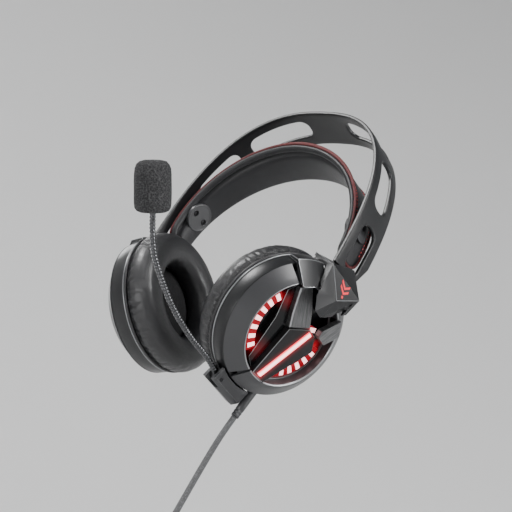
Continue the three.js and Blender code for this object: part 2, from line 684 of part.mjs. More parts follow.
function cushion() {
  const [r, h, d] = [cushionRadius, CUSHION_HOLE, CUSHION_DEPTH];
  return turned([
    [h + 3, -2 * GAP], [h, -4], [h, -d * 0.72], [h + 3.5, -d * 0.93], [h + 11, -d - 2 * GAP],
    [r - 5, -d * 0.93], [r, -d * 0.5], [r - 1.8, -2 * GAP],
  ], 36);
}

function cushionCloth() {
  const r = CUSHION_HOLE - 0.5;
  const t = CLOTH_THICKNESS;
  return turned([[0, -5 + t], [r, -3.4 + t], [r, -3.4], [0, -5]], 24);
}

// ---------- hinge block ----------
// every position the cup sweeps through, with room to spare
function cupSweep() {
  const c = SWING_CLEARANCE;
  const crest = bezelEdge + SIDE_BLADE_RISE + GAP + c;
  const envelope = turned([
    [0, -CUSHION_DEPTH], [cushionRadius + c, -CUSHION_DEPTH], [cushionRadius + c, 0], [CUP_RADIUS + c, 0],
    [CUP_RADIUS + c, DRUM_DEPTH + c * 0.6], [BEZEL_OPENING + 2.4 + c, bezelEdge + c],
    [BEZEL_OPENING + 1.6, crest], [0, crest],
  ], 32).applyMatrix4(cupPose);
  const panelRoom = prismX(grown(panelOutline, c), 0, bezelEdge + 9);
  const panel = common(coneSkin(0, GAP + PANEL_THICKNESS + c), panelRoom).applyMatrix4(cupPose);
  return [-SWING_IN, 0, SWING_OUT / 3, (SWING_OUT * 2) / 3, SWING_OUT].flatMap((angle) => {
    const swung = (g) => g.clone().translate(-pinPlace.x, 0, -pinPlace.z).rotateY(-angle)
      .translate(pinPlace.x, 0, pinPlace.z);
    return [swung(envelope), swung(panel)];
  });
}

// the faceted block from the bow's end down to below the pin
function blockBody() {
  const bowX = BOW_HALF_SPAN + BOW_THICKNESS / 2;
  const front = -BOW_WIDTH / 2 - BLOCK_FRONT;
  const rear = BOW_WIDTH / 2 - BLOCK_REAR;
  const top = bowEndZ + GAP;
  const [px, pz] = [pinPlace.x, pinPlace.z];
  const atBow = [
    [-18.3, front + 1.6, -1.2], [-18.3, front + 1.6, -8], [-18.3, front + 12, -1.2], [-18.3, front + 12, -8],
    [-8, front + 20.5, 0], [-8, rear - 4.4, -2.8], [0.9, front + 20.5, 0], [2.2, rear - 4.4, -2.7],
    [2.7, front, -10.4],
  ].map(([x, y, z]) => [bowX + x, y, top + z]);
  const atPin = [
    [-8, front, -20], [-6, front + 12, -20], [-0.5, front - 0.3, -13], [0.5, front + 4.5, -22.3],
    [0.5, front + 12.2, -22.6], [1.5, front + 17.5, -3.8], [5.5, rear - 0.6, 8.5],
    [1, rear - 0.6, -4.4], [-3.4, rear - 0.6, -4.4],
  ].map(([x, y, z]) => [px + x, y, pz + z]);
  return new ConvexGeometry([...atBow, ...atPin].map((corner) => new THREE.Vector3(...corner)));
}

function hingeBlock() {
  const { x, z } = pinPlace;
  const room = LUG_WIDTH / 2 + 2 * GAP;
  const half = BOW_THICKNESS / 2 + GAP;
  const width = BOW_WIDTH / 2 + GAP;
  const socket = box(BOW_HALF_SPAN - half, BOW_HALF_SPAN + half, -width, width,
    bowEndZ - BOW_TAIL - GAP, bowEndZ + BOW_TAIL);
  const reach = KNUCKLE_RADIUS + SWING_CLEARANCE;
  const [front, rear] = [LUG_OFFSET - room, LUG_OFFSET + room];
  const slot = box(x - CUP_RADIUS, x + reach, front, rear, z - CUP_RADIUS, z + reach);
  const bore = rodY(PIN_RADIUS + GAP, x, z, -LUG_WIDTH - GAP, BOW_WIDTH);
  return cut(blockBody(), ...cupSweep(), socket, slot, bore);
}

function hingePin() {
  return rodY(PIN_RADIUS, pinPlace.x, pinPlace.z, -LUG_WIDTH, BOW_WIDTH / 2 - BLOCK_REAR - 1.7);
}

// ---------- microphone ----------
const forkMiddle = (MIC_HOUSING.inner + MIC_HOUSING.outer) / 2;
const boomPinUp = -CUP_RADIUS - BOOM_PIN.below;

function micHousing() {
  const { front, back, inner, outer, height, chamfer } = MIC_HOUSING;
  const low = -CUP_RADIUS - GAP - height;
  const top = low + height + 10;
  const section = [[inner, low], [outer - chamfer, low], [outer, low + chamfer], [outer, top], [inner, top]];
  const body = prismY(section, front, back);
  const wall = rodX(CUP_RADIUS + GAP, 0, 0, -5, DRUM_DEPTH + outer, 60);
  const half = BOOM_KNUCKLE_WIDTH / 2 + GAP;
  const fork = box(forkMiddle - half, forkMiddle + half, front - 1,
    BOOM_PIN.rear + BOOM_KNUCKLE_RADIUS + FORK_CLEARANCE, low - 1, top + 1);
  const bore = rodX(BOOM_PIN.radius + GAP, BOOM_PIN.rear, boomPinUp, inner - 1, outer + 1, 12);
  return cut(body, wall, fork, bore);
}

function boomPin() {
  const { inner, outer } = MIC_HOUSING;
  return rodX(BOOM_PIN.radius, BOOM_PIN.rear, boomPinUp, inner + 0.2, outer - 0.2, 12);
}

const boomStart = new THREE.Vector3(forkMiddle, BOOM_PIN.rear, boomPinUp);
const boomPoints = BOOM_ROUTE.map((step) => new THREE.Vector3(...step).add(boomStart));
const boomCurve = new THREE.CatmullRomCurve3(boomPoints, false, 'centripetal');

function gooseneck() {
  const half = BOOM_KNUCKLE_WIDTH / 2;
  const [from, to] = [forkMiddle - half, forkMiddle + half];
  const knuckle = rodX(BOOM_KNUCKLE_RADIUS, BOOM_PIN.rear, boomPinUp, from, to, 24);
  const bore = rodX(BOOM_PIN.radius + GAP, BOOM_PIN.rear, boomPinUp, from - 1, to + 1, 12);
  return cut(join(knuckle, tube(boomCurve, BOOM_RADIUS, 8, 26)), bore);
}

// turns a piece modelled along +X to lie along the boom's end
function onBoomEnd(geometry) {
  const end = boomCurve.getPoint(1);
  const along = boomCurve.getTangent(1);
  const turn = new THREE.Quaternion().setFromUnitVectors(new THREE.Vector3(1, 0, 0), along);
  return geometry.applyQuaternion(turn).translate(end.x, end.y, end.z);
}

function micFoam() {
  const [r, bore] = [FOAM_RADIUS, CAPSULE_RADIUS + GAP];
  const start = -3; // the foam's mouth covers the end of the gooseneck
  const end = start + FOAM_LENGTH;
  const deep = CAPSULE_LENGTH + 2;
  return onBoomEnd(turned([
    [bore, start], [r - 4.5, start], [r - 1.2, start + 1.6], [r, start + 5], [r - 0.4, end - 8],
    [r - 2.4, end - 2.4], [r - 7, end], [0, end], [0, deep], [bore, deep],
  ], 20));
}

function micCapsule() {
  const [r, l] = [CAPSULE_RADIUS, CAPSULE_LENGTH];
  return onBoomEnd(turned([[0, GAP], [r, GAP], [r, l], [r - 0.8, l + 0.8], [0, l + 0.8]], 16));
}

// ---------- lead ----------
// the lead leaves the drum's underside and hangs
const reliefDirection = new THREE.Vector3(...RELIEF_DIRECTION).normalize();
const reliefUp = RELIEF_SEAT - Math.sqrt(CUP_RADIUS ** 2 - RELIEF_PLACE.rear ** 2);
const reliefTop = new THREE.Vector3(RELIEF_PLACE.outwards, RELIEF_PLACE.rear, reliefUp).applyMatrix4(cupPose);
const reliefEnd = reliefTop.clone().addScaledVector(reliefDirection, RELIEF_LENGTH + RELIEF_SEAT);

function strainRelief() {
  const length = RELIEF_LENGTH + RELIEF_SEAT;
  const body = new THREE.CylinderGeometry(RELIEF_RADIUS, RELIEF_TIP_RADIUS, length, 20);
  const turn = new THREE.Quaternion().setFromUnitVectors(new THREE.Vector3(0, -1, 0), reliefDirection);
  body.translate(0, -length / 2, 0).applyQuaternion(turn).translate(reliefTop.x, reliefTop.y, reliefTop.z);
  const wall = rodX(CUP_RADIUS + GAP, 0, 0, -30, 60, 60).applyMatrix4(cupPose);
  return cut(body, wall);
}

const coilTop = COIL_MIDDLE_RADIUS + COIL_HALF_DEPTH;
const tieTop = coilTop + GAP + TIE_WALL;
const plugRear = COIL_HALF_WIDTH + TIE_WALL + 2 * GAP + PLUG_BODY.thickness / 2;
const leadPoints = LEAD_ROUTE.map((p) => new THREE.Vector3(...p).add(reliefEnd));
// the lead hangs straight into the side of the coil's outermost turn
const outerTurn = COIL_MIDDLE_RADIUS + COIL_HALF_DEPTH - LEAD_RADIUS - GAP;
const reach = Math.sqrt((coilTop + GAP) ** 2 - (outerTurn - LEAD_RADIUS) ** 2);
const coilCentre = leadPoints.at(-1).clone().add(new THREE.Vector3(-outerTurn, 0, -reach));

function lead() {
  return tube(new THREE.CatmullRomCurve3(leadPoints), LEAD_RADIUS, 8, 12);
}

// moves a piece modelled round the coil's middle, its axis along Y, to its place
const atCoil = (geometry) => geometry.translate(coilCentre.x, coilCentre.y, coilCentre.z);

function coil() {
  const [r, w, d, c] = [COIL_MIDDLE_RADIUS, COIL_HALF_WIDTH, COIL_HALF_DEPTH, COIL_CHAMFER];
  const profile = [[r - d, -w + c], [r - d + c, -w], [r + d - c, -w], [r + d, -w + c],
    [r + d, w - c], [r + d - c, w], [r - d + c, w], [r - d, w - c]];
  return atCoil(new THREE.LatheGeometry([...profile, profile[0]].map((p) => new THREE.Vector2(...p)), 28));
}

function tie() {
  const [w, y] = [TIE_WIDTH / 2, COIL_HALF_WIDTH + GAP];
  const low = Math.sqrt((COIL_MIDDLE_RADIUS - COIL_HALF_DEPTH) ** 2 - w * w) - 2 * GAP;
  const frame = box(-w, w, -y - TIE_WALL, y + TIE_WALL, low - TIE_WALL, tieTop);
  return atCoil(cut(frame, box(-w - 1, w + 1, -y, y, low, tieTop - TIE_WALL)));
}

function plugLead() {
  return atCoil(new THREE.CylinderGeometry(LEAD_RADIUS, LEAD_RADIUS, PLUG_LEAD_LENGTH, 8)
    .rotateX(Math.PI / 2).translate(0, plugRear, PLUG_TOP + GAP + PLUG_LEAD_LENGTH / 2));
}

function plugBody() {
  const { width, thickness, length } = PLUG_BODY;
  const [w, n] = [width / 2, LEAD_RADIUS + 1.2];
  const outline = [[-w, -length], [w, -length], [w, -8], [n, 0], [-n, 0], [-w, -8]];
  const half = thickness / 2;
  return atCoil(prismY(outline, -half, half).translate(0, plugRear, PLUG_TOP));
}

function plugShell() {
  const { width, thickness, length, wall } = PLUG_SHELL;
  const top = PLUG_TOP - PLUG_BODY.length - GAP;
  const shell = box(-width / 2, width / 2, -thickness / 2, thickness / 2, top - length, top);
  const inner = width / 2 - wall;
  const mouth = box(-inner, inner, 0.2, thickness / 2 - wall, top - length - 1, top - 2);
  return atCoil(cut(shell, mouth).translate(0, plugRear, 0));
}

// ---------- assembly ----------
add('bow', solid(bow()), CHARCOAL());
add('strap', solid(strap()), LEATHER());
for (const [side, hand] of [[1, 'left'], [-1, 'right']]) {
  add(`${hand}_strap_cap`, solid(strapCap(side)), SATIN());
  screwPlaces.forEach((y, i) => add(`${hand}_cap_screw_${i + 1}`, solid(capScrew(y, side)), STEEL()));
  add(`${hand}_slider_clip`, solid(sliderClip(side)), SATIN());
}
const block = solid(hingeBlock());
add('left_hinge_block', block, CHARCOAL());
add('right_hinge_block', solid(block.clone().applyMatrix4(mirror)), CHARCOAL());
const pin = solid(hingePin());
add('left_hinge_pin', pin, STEEL());
add('right_hinge_pin', solid(pin.clone().applyMatrix4(mirror)), STEEL());

onBothCups('drum', drum(), CHARCOAL);
onBothCups('bezel', bezel(), SATIN);
onBothCups('face_plate', facePlate(), GLOSS);
onBothCups('top_panel', topPanel(), CHARCOAL);
onBothCups('upper_blade', blade(upperBlade), BRUSHED);
onBothCups('side_blade', blade(sideBlade, SIDE_BLADE_RISE), BRUSHED);
onBothCups('wedge_panel', wedge(), GLOSS);
onBothCups('light_bar', lightBar(), LAMP);
onBothCups('upper_light_arc', lightArc(UPPER_LIGHTS), LAMP);
onBothCups('lower_light_arc', lightArc(LOWER_LIGHTS), LAMP);
onBothCups('hinge_lug', hingeLug(), CHARCOAL);
onBothCups('baffle', baffle(), CHARCOAL);
onBothCups('driver', driver(), SATIN);
onBothCups('driver_magnet', magnet(), STEEL);
onBothCups('led_board', ledBoard(), BOARD);
onBothCups('ear_cushion', cushion(), LEATHER);
onBothCups('cushion_cloth', cushionCloth(), MESH_CLOTH);

onCup('mic_housing', micHousing(), CHARCOAL());
onCup('boom_pin', boomPin(), STEEL());
onCup('gooseneck', gooseneck(), SATIN());
onCup('mic_capsule', micCapsule(), STEEL());
onCup('mic_foam', micFoam(), FOAM());

add('strain_relief', solid(strainRelief()), RUBBER());
add('lead', solid(lead()), RUBBER());
add('lead_coil', solid(coil()), RUBBER());
add('coil_tie', solid(tie()), RUBBER());
add('plug_lead', solid(plugLead()), RUBBER());
add('plug_body', solid(plugBody()), RUBBER());
add('plug_shell', solid(plugShell()), STEEL());

export default headset;
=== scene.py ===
import math
import random

import bmesh
import bpy
from mathutils import Matrix, Vector, noise


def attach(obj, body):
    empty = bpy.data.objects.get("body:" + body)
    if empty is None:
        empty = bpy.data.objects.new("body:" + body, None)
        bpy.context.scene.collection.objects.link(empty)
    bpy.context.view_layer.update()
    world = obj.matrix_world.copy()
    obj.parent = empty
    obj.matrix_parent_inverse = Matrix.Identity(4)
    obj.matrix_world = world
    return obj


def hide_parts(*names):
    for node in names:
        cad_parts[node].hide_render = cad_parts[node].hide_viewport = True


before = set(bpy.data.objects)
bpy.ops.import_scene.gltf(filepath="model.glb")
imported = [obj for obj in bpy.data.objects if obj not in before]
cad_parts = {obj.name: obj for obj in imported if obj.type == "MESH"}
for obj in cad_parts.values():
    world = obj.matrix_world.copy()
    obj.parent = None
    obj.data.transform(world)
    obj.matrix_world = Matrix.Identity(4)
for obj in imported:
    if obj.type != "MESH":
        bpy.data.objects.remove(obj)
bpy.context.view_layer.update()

# ---------------------------------------------------------------- camera, light and stage
# The headset hangs upright as if worn. The camera looks up at it from the wearer's
# front left, and a pale floor with a curved pale wall stands well clear of it.
def axes(x, y, z):
    """The turn that lays X, Y and Z along three directions."""
    return Matrix((x, y, z)).transposed().to_4x4()


camera = bpy.data.objects.new("camera", bpy.data.cameras.new("camera"))
bpy.context.collection.objects.link(camera)
camera.matrix_world = Matrix.Translation((0.634, -0.597, -0.500)) @ axes(
    (0.7568, 0.4657, 0.4586), (-0.0708, -0.6391, 0.7659), (0.6498, -0.6121, -0.4507))
camera.data.lens = 92.2
camera.data.shift_x = -0.0318
camera.data.shift_y = -0.0604
bpy.context.scene.camera = camera


def lamp(name, place, target, size, watts, colour=(1, 1, 1)):
    """A soft rectangular studio light at a place, facing a target."""
    light = bpy.data.lights.new(name, "AREA")
    light.shape = "RECTANGLE"
    light.size, light.size_y = size
    light.energy = watts
    light.color = colour
    holder = bpy.data.objects.new(name, light)
    bpy.context.collection.objects.link(holder)
    holder.location = place
    facing = Vector(target) - Vector(place)
    holder.rotation_euler = facing.to_track_quat("-Z", "Y").to_euler()


middle = (0, 0, -0.1)
lamp("key_light", (-0.75, -1.1, 0.75), middle, (0.5, 0.35), 30)
lamp("side_light", (1.5, 0.5, 0.35), middle, (0.25, 0.9), 17)
lamp("low_light", (0.1, -1.1, -0.7), middle, (0.9, 0.16), 6)
lamp("top_light", (1.0, -0.42, 0.82), (0.06, 0, -0.14), (0.5, 0.3), 24)
lamp("back_light", (-1.5, 0.25, 0.35), middle, (0.3, 1.0), 9)

world = bpy.data.worlds.new("studio")
world.use_nodes = True
world.node_tree.nodes["Background"].inputs["Color"].default_value = (0.86, 0.88, 0.9, 1)
world.node_tree.nodes["Background"].inputs["Strength"].default_value = 0.24
bpy.context.scene.world = world


class Wire:
    """One output in a paint's nodes. Arithmetic on wires adds Math nodes."""

    def __init__(self, paint, socket):
        self.paint = paint
        self.socket = socket

    def __add__(self, other):
        return self.paint.math("ADD", self, other)

    def __sub__(self, other):
        return self.paint.math("SUBTRACT", self, other)

    def __rsub__(self, other):
        return self.paint.math("SUBTRACT", other, self)

    def __mul__(self, other):
        return self.paint.math("MULTIPLY", self, other)

    def __truediv__(self, other):
        return self.paint.math("DIVIDE", self, other)

    def __pow__(self, other):
        return self.paint.math("POWER", self, other)

    def __gt__(self, other):
        return self.paint.math("GREATER_THAN", self, other)

    def __rtruediv__(self, other):
        return self.paint.math("DIVIDE", other, self)

    __radd__ = __add__
    __rmul__ = __mul__


class Paint:
    """A procedural finish: a Principled shader, whose constants are set on its own sockets."""

    def __init__(self, name, colour, roughness, metallic=0.0, **constants):
        self.material = bpy.data.materials.new(name)
        self.material.use_nodes = True
        self.tree = self.material.node_tree
        self.shader = self.tree.nodes["Principled BSDF"]
        self.set("Base Color", (*colour, 1))
        self.set("Roughness", roughness)
        self.set("Metallic", metallic)
        for socket, value in constants.items():
            self.set(socket.replace("_", " "), value)

    def set(self, socket, value):
        """Sets a socket of the shader to a number or colour, or feeds it from a wire."""
        if isinstance(value, Wire):
            self.tree.links.new(value.socket, self.shader.inputs[socket])
        else:
            self.shader.inputs[socket].default_value = value

    def node(self, kind, settings=None, inputs=None, output=0):
        """Adds a node: its type, its settings, then the values or wires of its sockets."""
        node = self.tree.nodes.new("ShaderNode" + kind)
        for key, value in (settings or {}).items():
            if key == "stops":
                ramp = node.color_ramp
                while len(ramp.elements) < len(value):
                    ramp.elements.new(0.5)
                for element, (place, colour) in zip(ramp.elements, value):
                    element.position = place
                    element.color = (*colour, 1)
            else:
                setattr(node, key, value)
        for key, value in (inputs or {}).items():
            if isinstance(value, Wire):
                self.tree.links.new(value.socket, node.inputs[key])
            else:
                node.inputs[key].default_value = value
        return Wire(self, node.outputs[output])

    def math(self, operation, first, second):
        return self.node("Math", {"operation": operation}, {0: first, 1: second})

    def place(self, scale=(1, 1, 1), turn=(0, 0, 0)):
        """Coordinates in metres in the row's frame, scaled and turned."""
        spot = self.node("TexCoord", output=3)
        return self.node("Mapping", None, {"Vector": spot, "Scale": scale, "Rotation": turn})

    def noise(self, spot, scale, detail=2.0, rough=0.5):
        return self.node("TexNoise", None, {
            "Vector": spot, "Scale": scale, "Detail": detail, "Roughness": rough})

    def cell_walls(self, spot, scale):
        """Distance to the walls between small irregular cells."""
        return self.node("TexVoronoi", {"feature": "DISTANCE_TO_EDGE"}, {"Vector": spot, "Scale": scale})

    def split_map(self, name):
        """The two coordinates of a piece's own map."""
        flat = self.node("UVMap", {"uv_map": name})
        return [self.node("SeparateXYZ", None, {0: flat}, i) for i in (0, 1)]

    def blend(self, amount, low, high):
        """A colour between two others."""
        colours = {6: (*low, 1) if isinstance(low, tuple) else low,
                   7: (*high, 1) if isinstance(high, tuple) else high}
        return self.node("Mix", {"data_type": "RGBA"}, {0: amount, **colours}, output=2)

    def tint(self, amount, low, high):
        """Varies the base colour between two colours."""
        self.set("Base Color", self.blend(amount, low, high))

    def emboss(self, height, distance, strength=1.0):
        """Feeds the shader's normal from a height map, with its depth in metres."""
        self.set("Normal", self.node("Bump", None, {
            "Height": height, "Distance": distance, "Strength": strength}))


def show(name, shape, paints, body, slot, stands_for=(), sharp=32, inside_out=False):
    """A finished piece from a bmesh in millimetres: its paints, body, slot and CAD nodes; the slot is not
    used.
    """
    mesh = bpy.data.meshes.new(name)
    bmesh.ops.scale(shape, vec=(0.001, 0.001, 0.001), verts=shape.verts)
    bmesh.ops.recalc_face_normals(shape, faces=shape.faces)
    if inside_out:
        bmesh.ops.reverse_faces(shape, faces=shape.faces)
    shape.to_mesh(mesh)
    shape.free()
    mesh.polygons.foreach_set("use_smooth", [True] * len(mesh.polygons))
    mesh.set_sharp_from_angle(angle=math.radians(sharp))
    for paint in paints:
        mesh.materials.append(paint.material)
    piece = bpy.data.objects.new(name, mesh)
    bpy.context.collection.objects.link(piece)
    if body is None:
        return piece
    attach(piece, body)
    if stands_for:
        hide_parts(*stands_for)
    return piece


def lathe(profile, segments, closed=True):
    """A body turned about the X axis from points [radius, x], welded where the radius is 0."""
    shape = bmesh.new()
    rings = []
    for i in range(segments):
        angle = 2 * math.pi * i / segments
        rings.append([shape.verts.new((x, r * math.cos(angle), r * math.sin(angle)))
                      for r, x in profile])
    steps = len(profile) if closed else len(profile) - 1
    for i in range(segments):
        a, b = rings[i], rings[(i + 1) % segments]
        for j in range(steps):
            k = (j + 1) % len(profile)
            shape.faces.new((a[j], a[k], b[k], b[j]))
    bmesh.ops.remove_doubles(shape, verts=shape.verts, dist=1e-4)
    return shape


FLOOR = -900
stage_paint = Paint("stage", (0.8, 0.8, 0.8), 0.95)
wall = [[0, FLOOR], [1900, FLOOR]]
wall += [[1900 + 500 * math.sin(a), FLOOR + 500 * (1 - math.cos(a))]
         for a in (math.radians(d) for d in range(15, 91, 15))]
wall += [[2400, 2600]]
stage_shape = lathe(wall, 64, closed=False)
bmesh.ops.rotate(stage_shape, verts=stage_shape.verts, matrix=Matrix.Rotation(-math.pi / 2, 3, "Y"))
show("floor_and_wall", stage_shape, [stage_paint], None, None, inside_out=True)

# ---------------------------------------------------------------- the lead
# A braided lead of 4.2 mm leaves the left cup through a tapered relief, hangs straight
# down, and its length is wound into a coil that hangs below, ending in a USB plug.
LEAD_RADIUS = 2.1
relief_tip = Vector((43.43, 21, -209.302))
lead_steps = [
    (-0.05, 0, -0.3), (-1.3, 0, -9), (-2.4, 0, -20), (-3, 0, -34),
    (-3.3, 0, -50), (-3.4, 0, -68), (-3.4, 0, -86), (-3.4, 0, -104), (-3.4, 0, -122),
]
lead_route = [relief_tip + Vector(step) for step in lead_steps]

# the coil's turns lie in three rows of four, each turn one lead's width from the next
OUTER_TURN = 31.2
coil_middle = lead_route[-1] + Vector((-OUTER_TURN, 0, -17.39))
PITCH = 4.2
cells = [(0, 0), (-1, 0), (-1, 1), (0, 1), (0, 2), (-1, 2), (-1, 3), (0, 3), (1, 3), (1, 2), (1, 1), (1, 0)]
CHANGE = math.radians(50)  # a turn steps over to the next cell within this angle
EARLIER = math.radians(45)  # and each steps over a little earlier than the last


def cell_place(cell):
    row, layer = cell
    return Vector((OUTER_TURN - PITCH * layer, PITCH * row))


def coil_place(angle):
    """Radius and rear offset of the winding after an angle of turning."""
    spot = cell_place(cells[0])
    for i in range(1, len(cells)):
        start = i * (2 * math.pi - EARLIER)
        share = min(max((angle - start) / CHANGE, 0), 1)
        share = share * share * (3 - 2 * share)
        spot += share * (cell_place(cells[i]) - cell_place(cells[i - 1]))
    return spot


TURNS = 11.5 - 11 * EARLIER / (2 * math.pi)
half_turns = math.ceil(2 * TURNS)
if half_turns % 2 == 0:
    half_turns += 1
for i in range(half_turns * 12 + 1):
    angle = i * math.pi / 12
    radius, rear = coil_place(angle)
    lead_route.append(coil_middle + Vector((radius * math.cos(angle), rear, -radius * math.sin(angle))))
# off the coil's far side, over the top and down into the plug
PLUG_REAR = 12.8
RETURN_RADIUS = OUTER_TURN / 2
return_height = 18.3
for height in (6, 12):
    share = height / (return_height + 26)
    lead_route.append(coil_middle + Vector((-OUTER_TURN, PITCH + share * (PLUG_REAR - PITCH), height)))
for i in range(13):
    angle = math.pi * (1 - i / 12)
    share = min((return_height + RETURN_RADIUS * (math.pi - angle)) / (return_height + 26), 1)
    lead_route.append(coil_middle + Vector((
        RETURN_RADIUS * (math.cos(angle) - 1), PITCH + share * (PLUG_REAR - PITCH),
        return_height + RETURN_RADIUS * math.sin(angle))))
lead_route.append(coil_middle + Vector((0, PLUG_REAR, 11)))
lead_route.append(coil_middle + Vector((0, PLUG_REAR, 4.3)))


def smooth_line(points, spacing):
    """Points about evenly spaced on a smooth curve through the given ones."""
    line = []
    ends = [points[0] * 2 - points[1], *points, points[-1] * 2 - points[-2]]
    for a, b, c, d in zip(ends, ends[1:], ends[2:], ends[3:]):
        steps = max(1, round((c - b).length / spacing))
        for i in range(steps):
            t = i / steps
            line.append(0.5 * (2 * b + (c - a) * t + (2 * a - 5 * b + 4 * c - d) * t * t
                               + (3 * b - a - 3 * c + d) * t ** 3))
    return [*line, points[-1]]


def tube(line, radius, sides):
    """A closed tube along a line; radius is a number, or a function of distance and angle."""
    shape = bmesh.new()
    uv = shape.loops.layers.uv.new("around_and_along")
    tangents = [(b - a).normalized() for a, b in zip(line, line[1:])]
    tangents.append(tangents[-1])
    side = tangents[0].orthogonal().normalized()
    rings = []
    run = 0.0
    runs = []
    for i, (point, tangent) in enumerate(zip(line, tangents)):
        if i:
            run += (point - line[i - 1]).length
            side = tangents[i - 1].rotation_difference(tangent) @ side
        other = tangent.cross(side)
        ring = []
        for j in range(sides):
            angle = 2 * math.pi * j / sides
            size = radius(run, angle) if callable(radius) else radius
            ring.append(shape.verts.new(point + size * (math.cos(angle) * side + math.sin(angle) * other)))
        rings.append(ring)
        runs.append(run)
    for i in range(len(rings) - 1):
        for j in range(sides):
            k = (j + 1) % sides
            face = shape.faces.new((rings[i][j], rings[i][k], rings[i + 1][k], rings[i + 1][j]))
            spots = ((j, i), (j + 1, i), (j + 1, i + 1), (j, i + 1))
            for loop, (around, along) in zip(face.loops, spots):
                loop[uv].uv = (around / sides, runs[along] / 1000)
    shape.faces.new(rings[0][::-1])
    shape.faces.new(rings[-1])
    return shape


def spirals(paint, starts, rate):
    """Two sets of threads that wind round a tube, one each way."""
    around, along = paint.split_map("around_and_along")
    twists = (around * starts + along * rate, around * starts - along * rate)
    return [paint.node("Math", {"operation": "SINE"}, {0: twist * (2 * math.pi)}) for twist in twists]


braid = Paint("braided_sleeve", (0.05, 0.05, 0.053), 0.62)
right_hand, left_hand = spirals(braid, 8, 900)
over = braid.math("MAXIMUM", right_hand, left_hand) * 0.5 + 0.5
flecks = braid.noise(braid.place(), 900, 2.0) > 0.58
braid.tint(over * 0.6 + flecks * 0.4, (0.006, 0.006, 0.007), (0.12, 0.121, 0.126))
braid.set("Roughness", 0.75 - over * 0.25)
braid.emboss(over, 0.0004)

lead_line = smooth_line(lead_route, 3.0)
lead = show("braided_lead", tube(lead_line, LEAD_RADIUS, 12), [braid], "left_cup", "cable_braid",
            ("lead", "lead_coil", "plug_lead"), sharp=60)
lead_length = sum((b - a).length for a, b in zip(lead_line, lead_line[1:]))
[tuple(p * 0.001) for p in lead_line]

# ---------------------------------------------------------------- the bow
# One moulded band of charcoal plastic, 3 mm thick, bent to a squared-off arch over the
# head. Six rounded slots lighten it, its edges are rounded, and its ends go into the hinges.
class Arch:
    """An arch in the XZ plane with straight ends. Runs are distances from its crown."""

    def __init__(self, half_span, rise, squareness, base):
        power = 2 / squareness
        steps = 1600
        self.points = []
        for i in range(steps + 1):
            angle = math.pi / 2 * (1 - (1 - i / steps) ** 1.25)
            self.points.append(Vector((half_span * math.sin(angle) ** power, 0,
                                       rise * max(math.cos(angle), 0) ** power + base)))
        self.runs = [0.0]
        for a, b in zip(self.points, self.points[1:]):
            self.runs.append(self.runs[-1] + (b - a).length)
        self.length = self.runs[-1]

    def at(self, run):
        """The point and the outward normal at a run."""
        far = abs(run)
        if far >= self.length:
            point, normal = self.points[-1] - Vector((0, 0, far - self.length)), Vector((1, 0, 0))
        else:
            low, high = 0, len(self.runs) - 1
            while high - low > 1:
                half = (low + high) // 2
                low, high = (half, high) if self.runs[half] <= far else (low, half)
            share = (far - self.runs[low]) / (self.runs[high] - self.runs[low])
            point = self.points[low].lerp(self.points[high], share)
            before, after = self.points[max(low - 6, 0)], self.points[min(high + 6, len(self.points) - 1)]
            along = (after - before).normalized()
            normal = Vector((-along.z, 0, along.x))
            if low < 6:
                normal = Vector((0, 0, 1)).lerp(normal, far / self.runs[6]).normalized()
        if run < 0:
            point, normal = (Vector((-v.x, 0, v.z)) for v in (point, normal))
        return point, normal


def flat_plate(loops, thickness, rounding):
    """A plate in the XY plane, cut to closed loops of points, with rounded edges."""
    curve = bpy.data.curves.new("plate", "CURVE")
    curve.dimensions = "2D"
    curve.fill_mode = "BOTH"
    curve.extrude = thickness / 2 - rounding
    curve.bevel_depth = rounding
    curve.bevel_resolution = 2
    curve.offset = -rounding
    for loop in loops:
        spline = curve.splines.new("POLY")
        spline.points.add(len(loop) - 1)
        for point, (x, y) in zip(spline.points, loop):
            point.co = (x, y, 0, 1)
        spline.use_cyclic_u = True
    holder = bpy.data.objects.new("plate", curve)
    mesh = bpy.data.meshes.new_from_object(holder)
    shape = bmesh.new()
    shape.from_mesh(mesh)
    bmesh.ops.remove_doubles(shape, verts=shape.verts, dist=1e-3)
    bpy.data.objects.remove(holder)
    bpy.data.meshes.remove(mesh)
    return shape


def rounded_slot(start, end, width, radius):
    """Points round a slot along X, with rounded corners."""
    corners = [(end - radius, width / 2 - radius, 0), (start + radius, width / 2 - radius, 90),
               (start + radius, radius - width / 2, 180), (end - radius, radius - width / 2, 270)]
    return [(x + radius * math.cos(math.radians(a)), y + radius * math.sin(math.radians(a)))
            for x, y, first in corners for a in range(first, first + 91, 15)]


def slice_across(shape, axis, places):
    """Cuts every face of a shape where it crosses planes at right angles to an axis."""
    for place in places:
        spot, normal = Vector((0, 0, 0)), Vector((0, 0, 0))
        spot[axis] = place
        normal[axis] = 1
        bmesh.ops.bisect_plane(shape, geom=[*shape.verts, *shape.edges, *shape.faces], dist=1e-4,
                               plane_co=spot, plane_no=normal)


BOW_WIDTH = 34.5
BOW_CROWNING = 0.7  # the band bulges this much between its edges
bow_arch = Arch(88.8, 131.2, 2.54, -92.9)
IN_HINGE = 5  # each end goes this far into its hinge
bow_end = bow_arch.length + IN_HINGE
half = BOW_WIDTH / 2
TAPER_LENGTH = 18.3
TAPER_DEPTH = 6.6
bow_loops = [[(-bow_end, -half), (bow_end, -half), (bow_end, half - TAPER_DEPTH),
              (bow_end - TAPER_LENGTH, half), (TAPER_LENGTH - bow_end, half), (-bow_end, half - TAPER_DEPTH)]]
for start, end in ((19, 72), (84, 129), (145, 184)):
    bow_loops.append(rounded_slot(start, end, 17, 7))
    bow_loops.append(rounded_slot(-end, -start, 17, 7))
bow = flat_plate(bow_loops, 3, 0.9)
slice_across(bow, 0, [2.4 * i for i in range(-84, 85)])
slice_across(bow, 1, [-13, -8.5, -4, 0, 4, 8.5, 13])
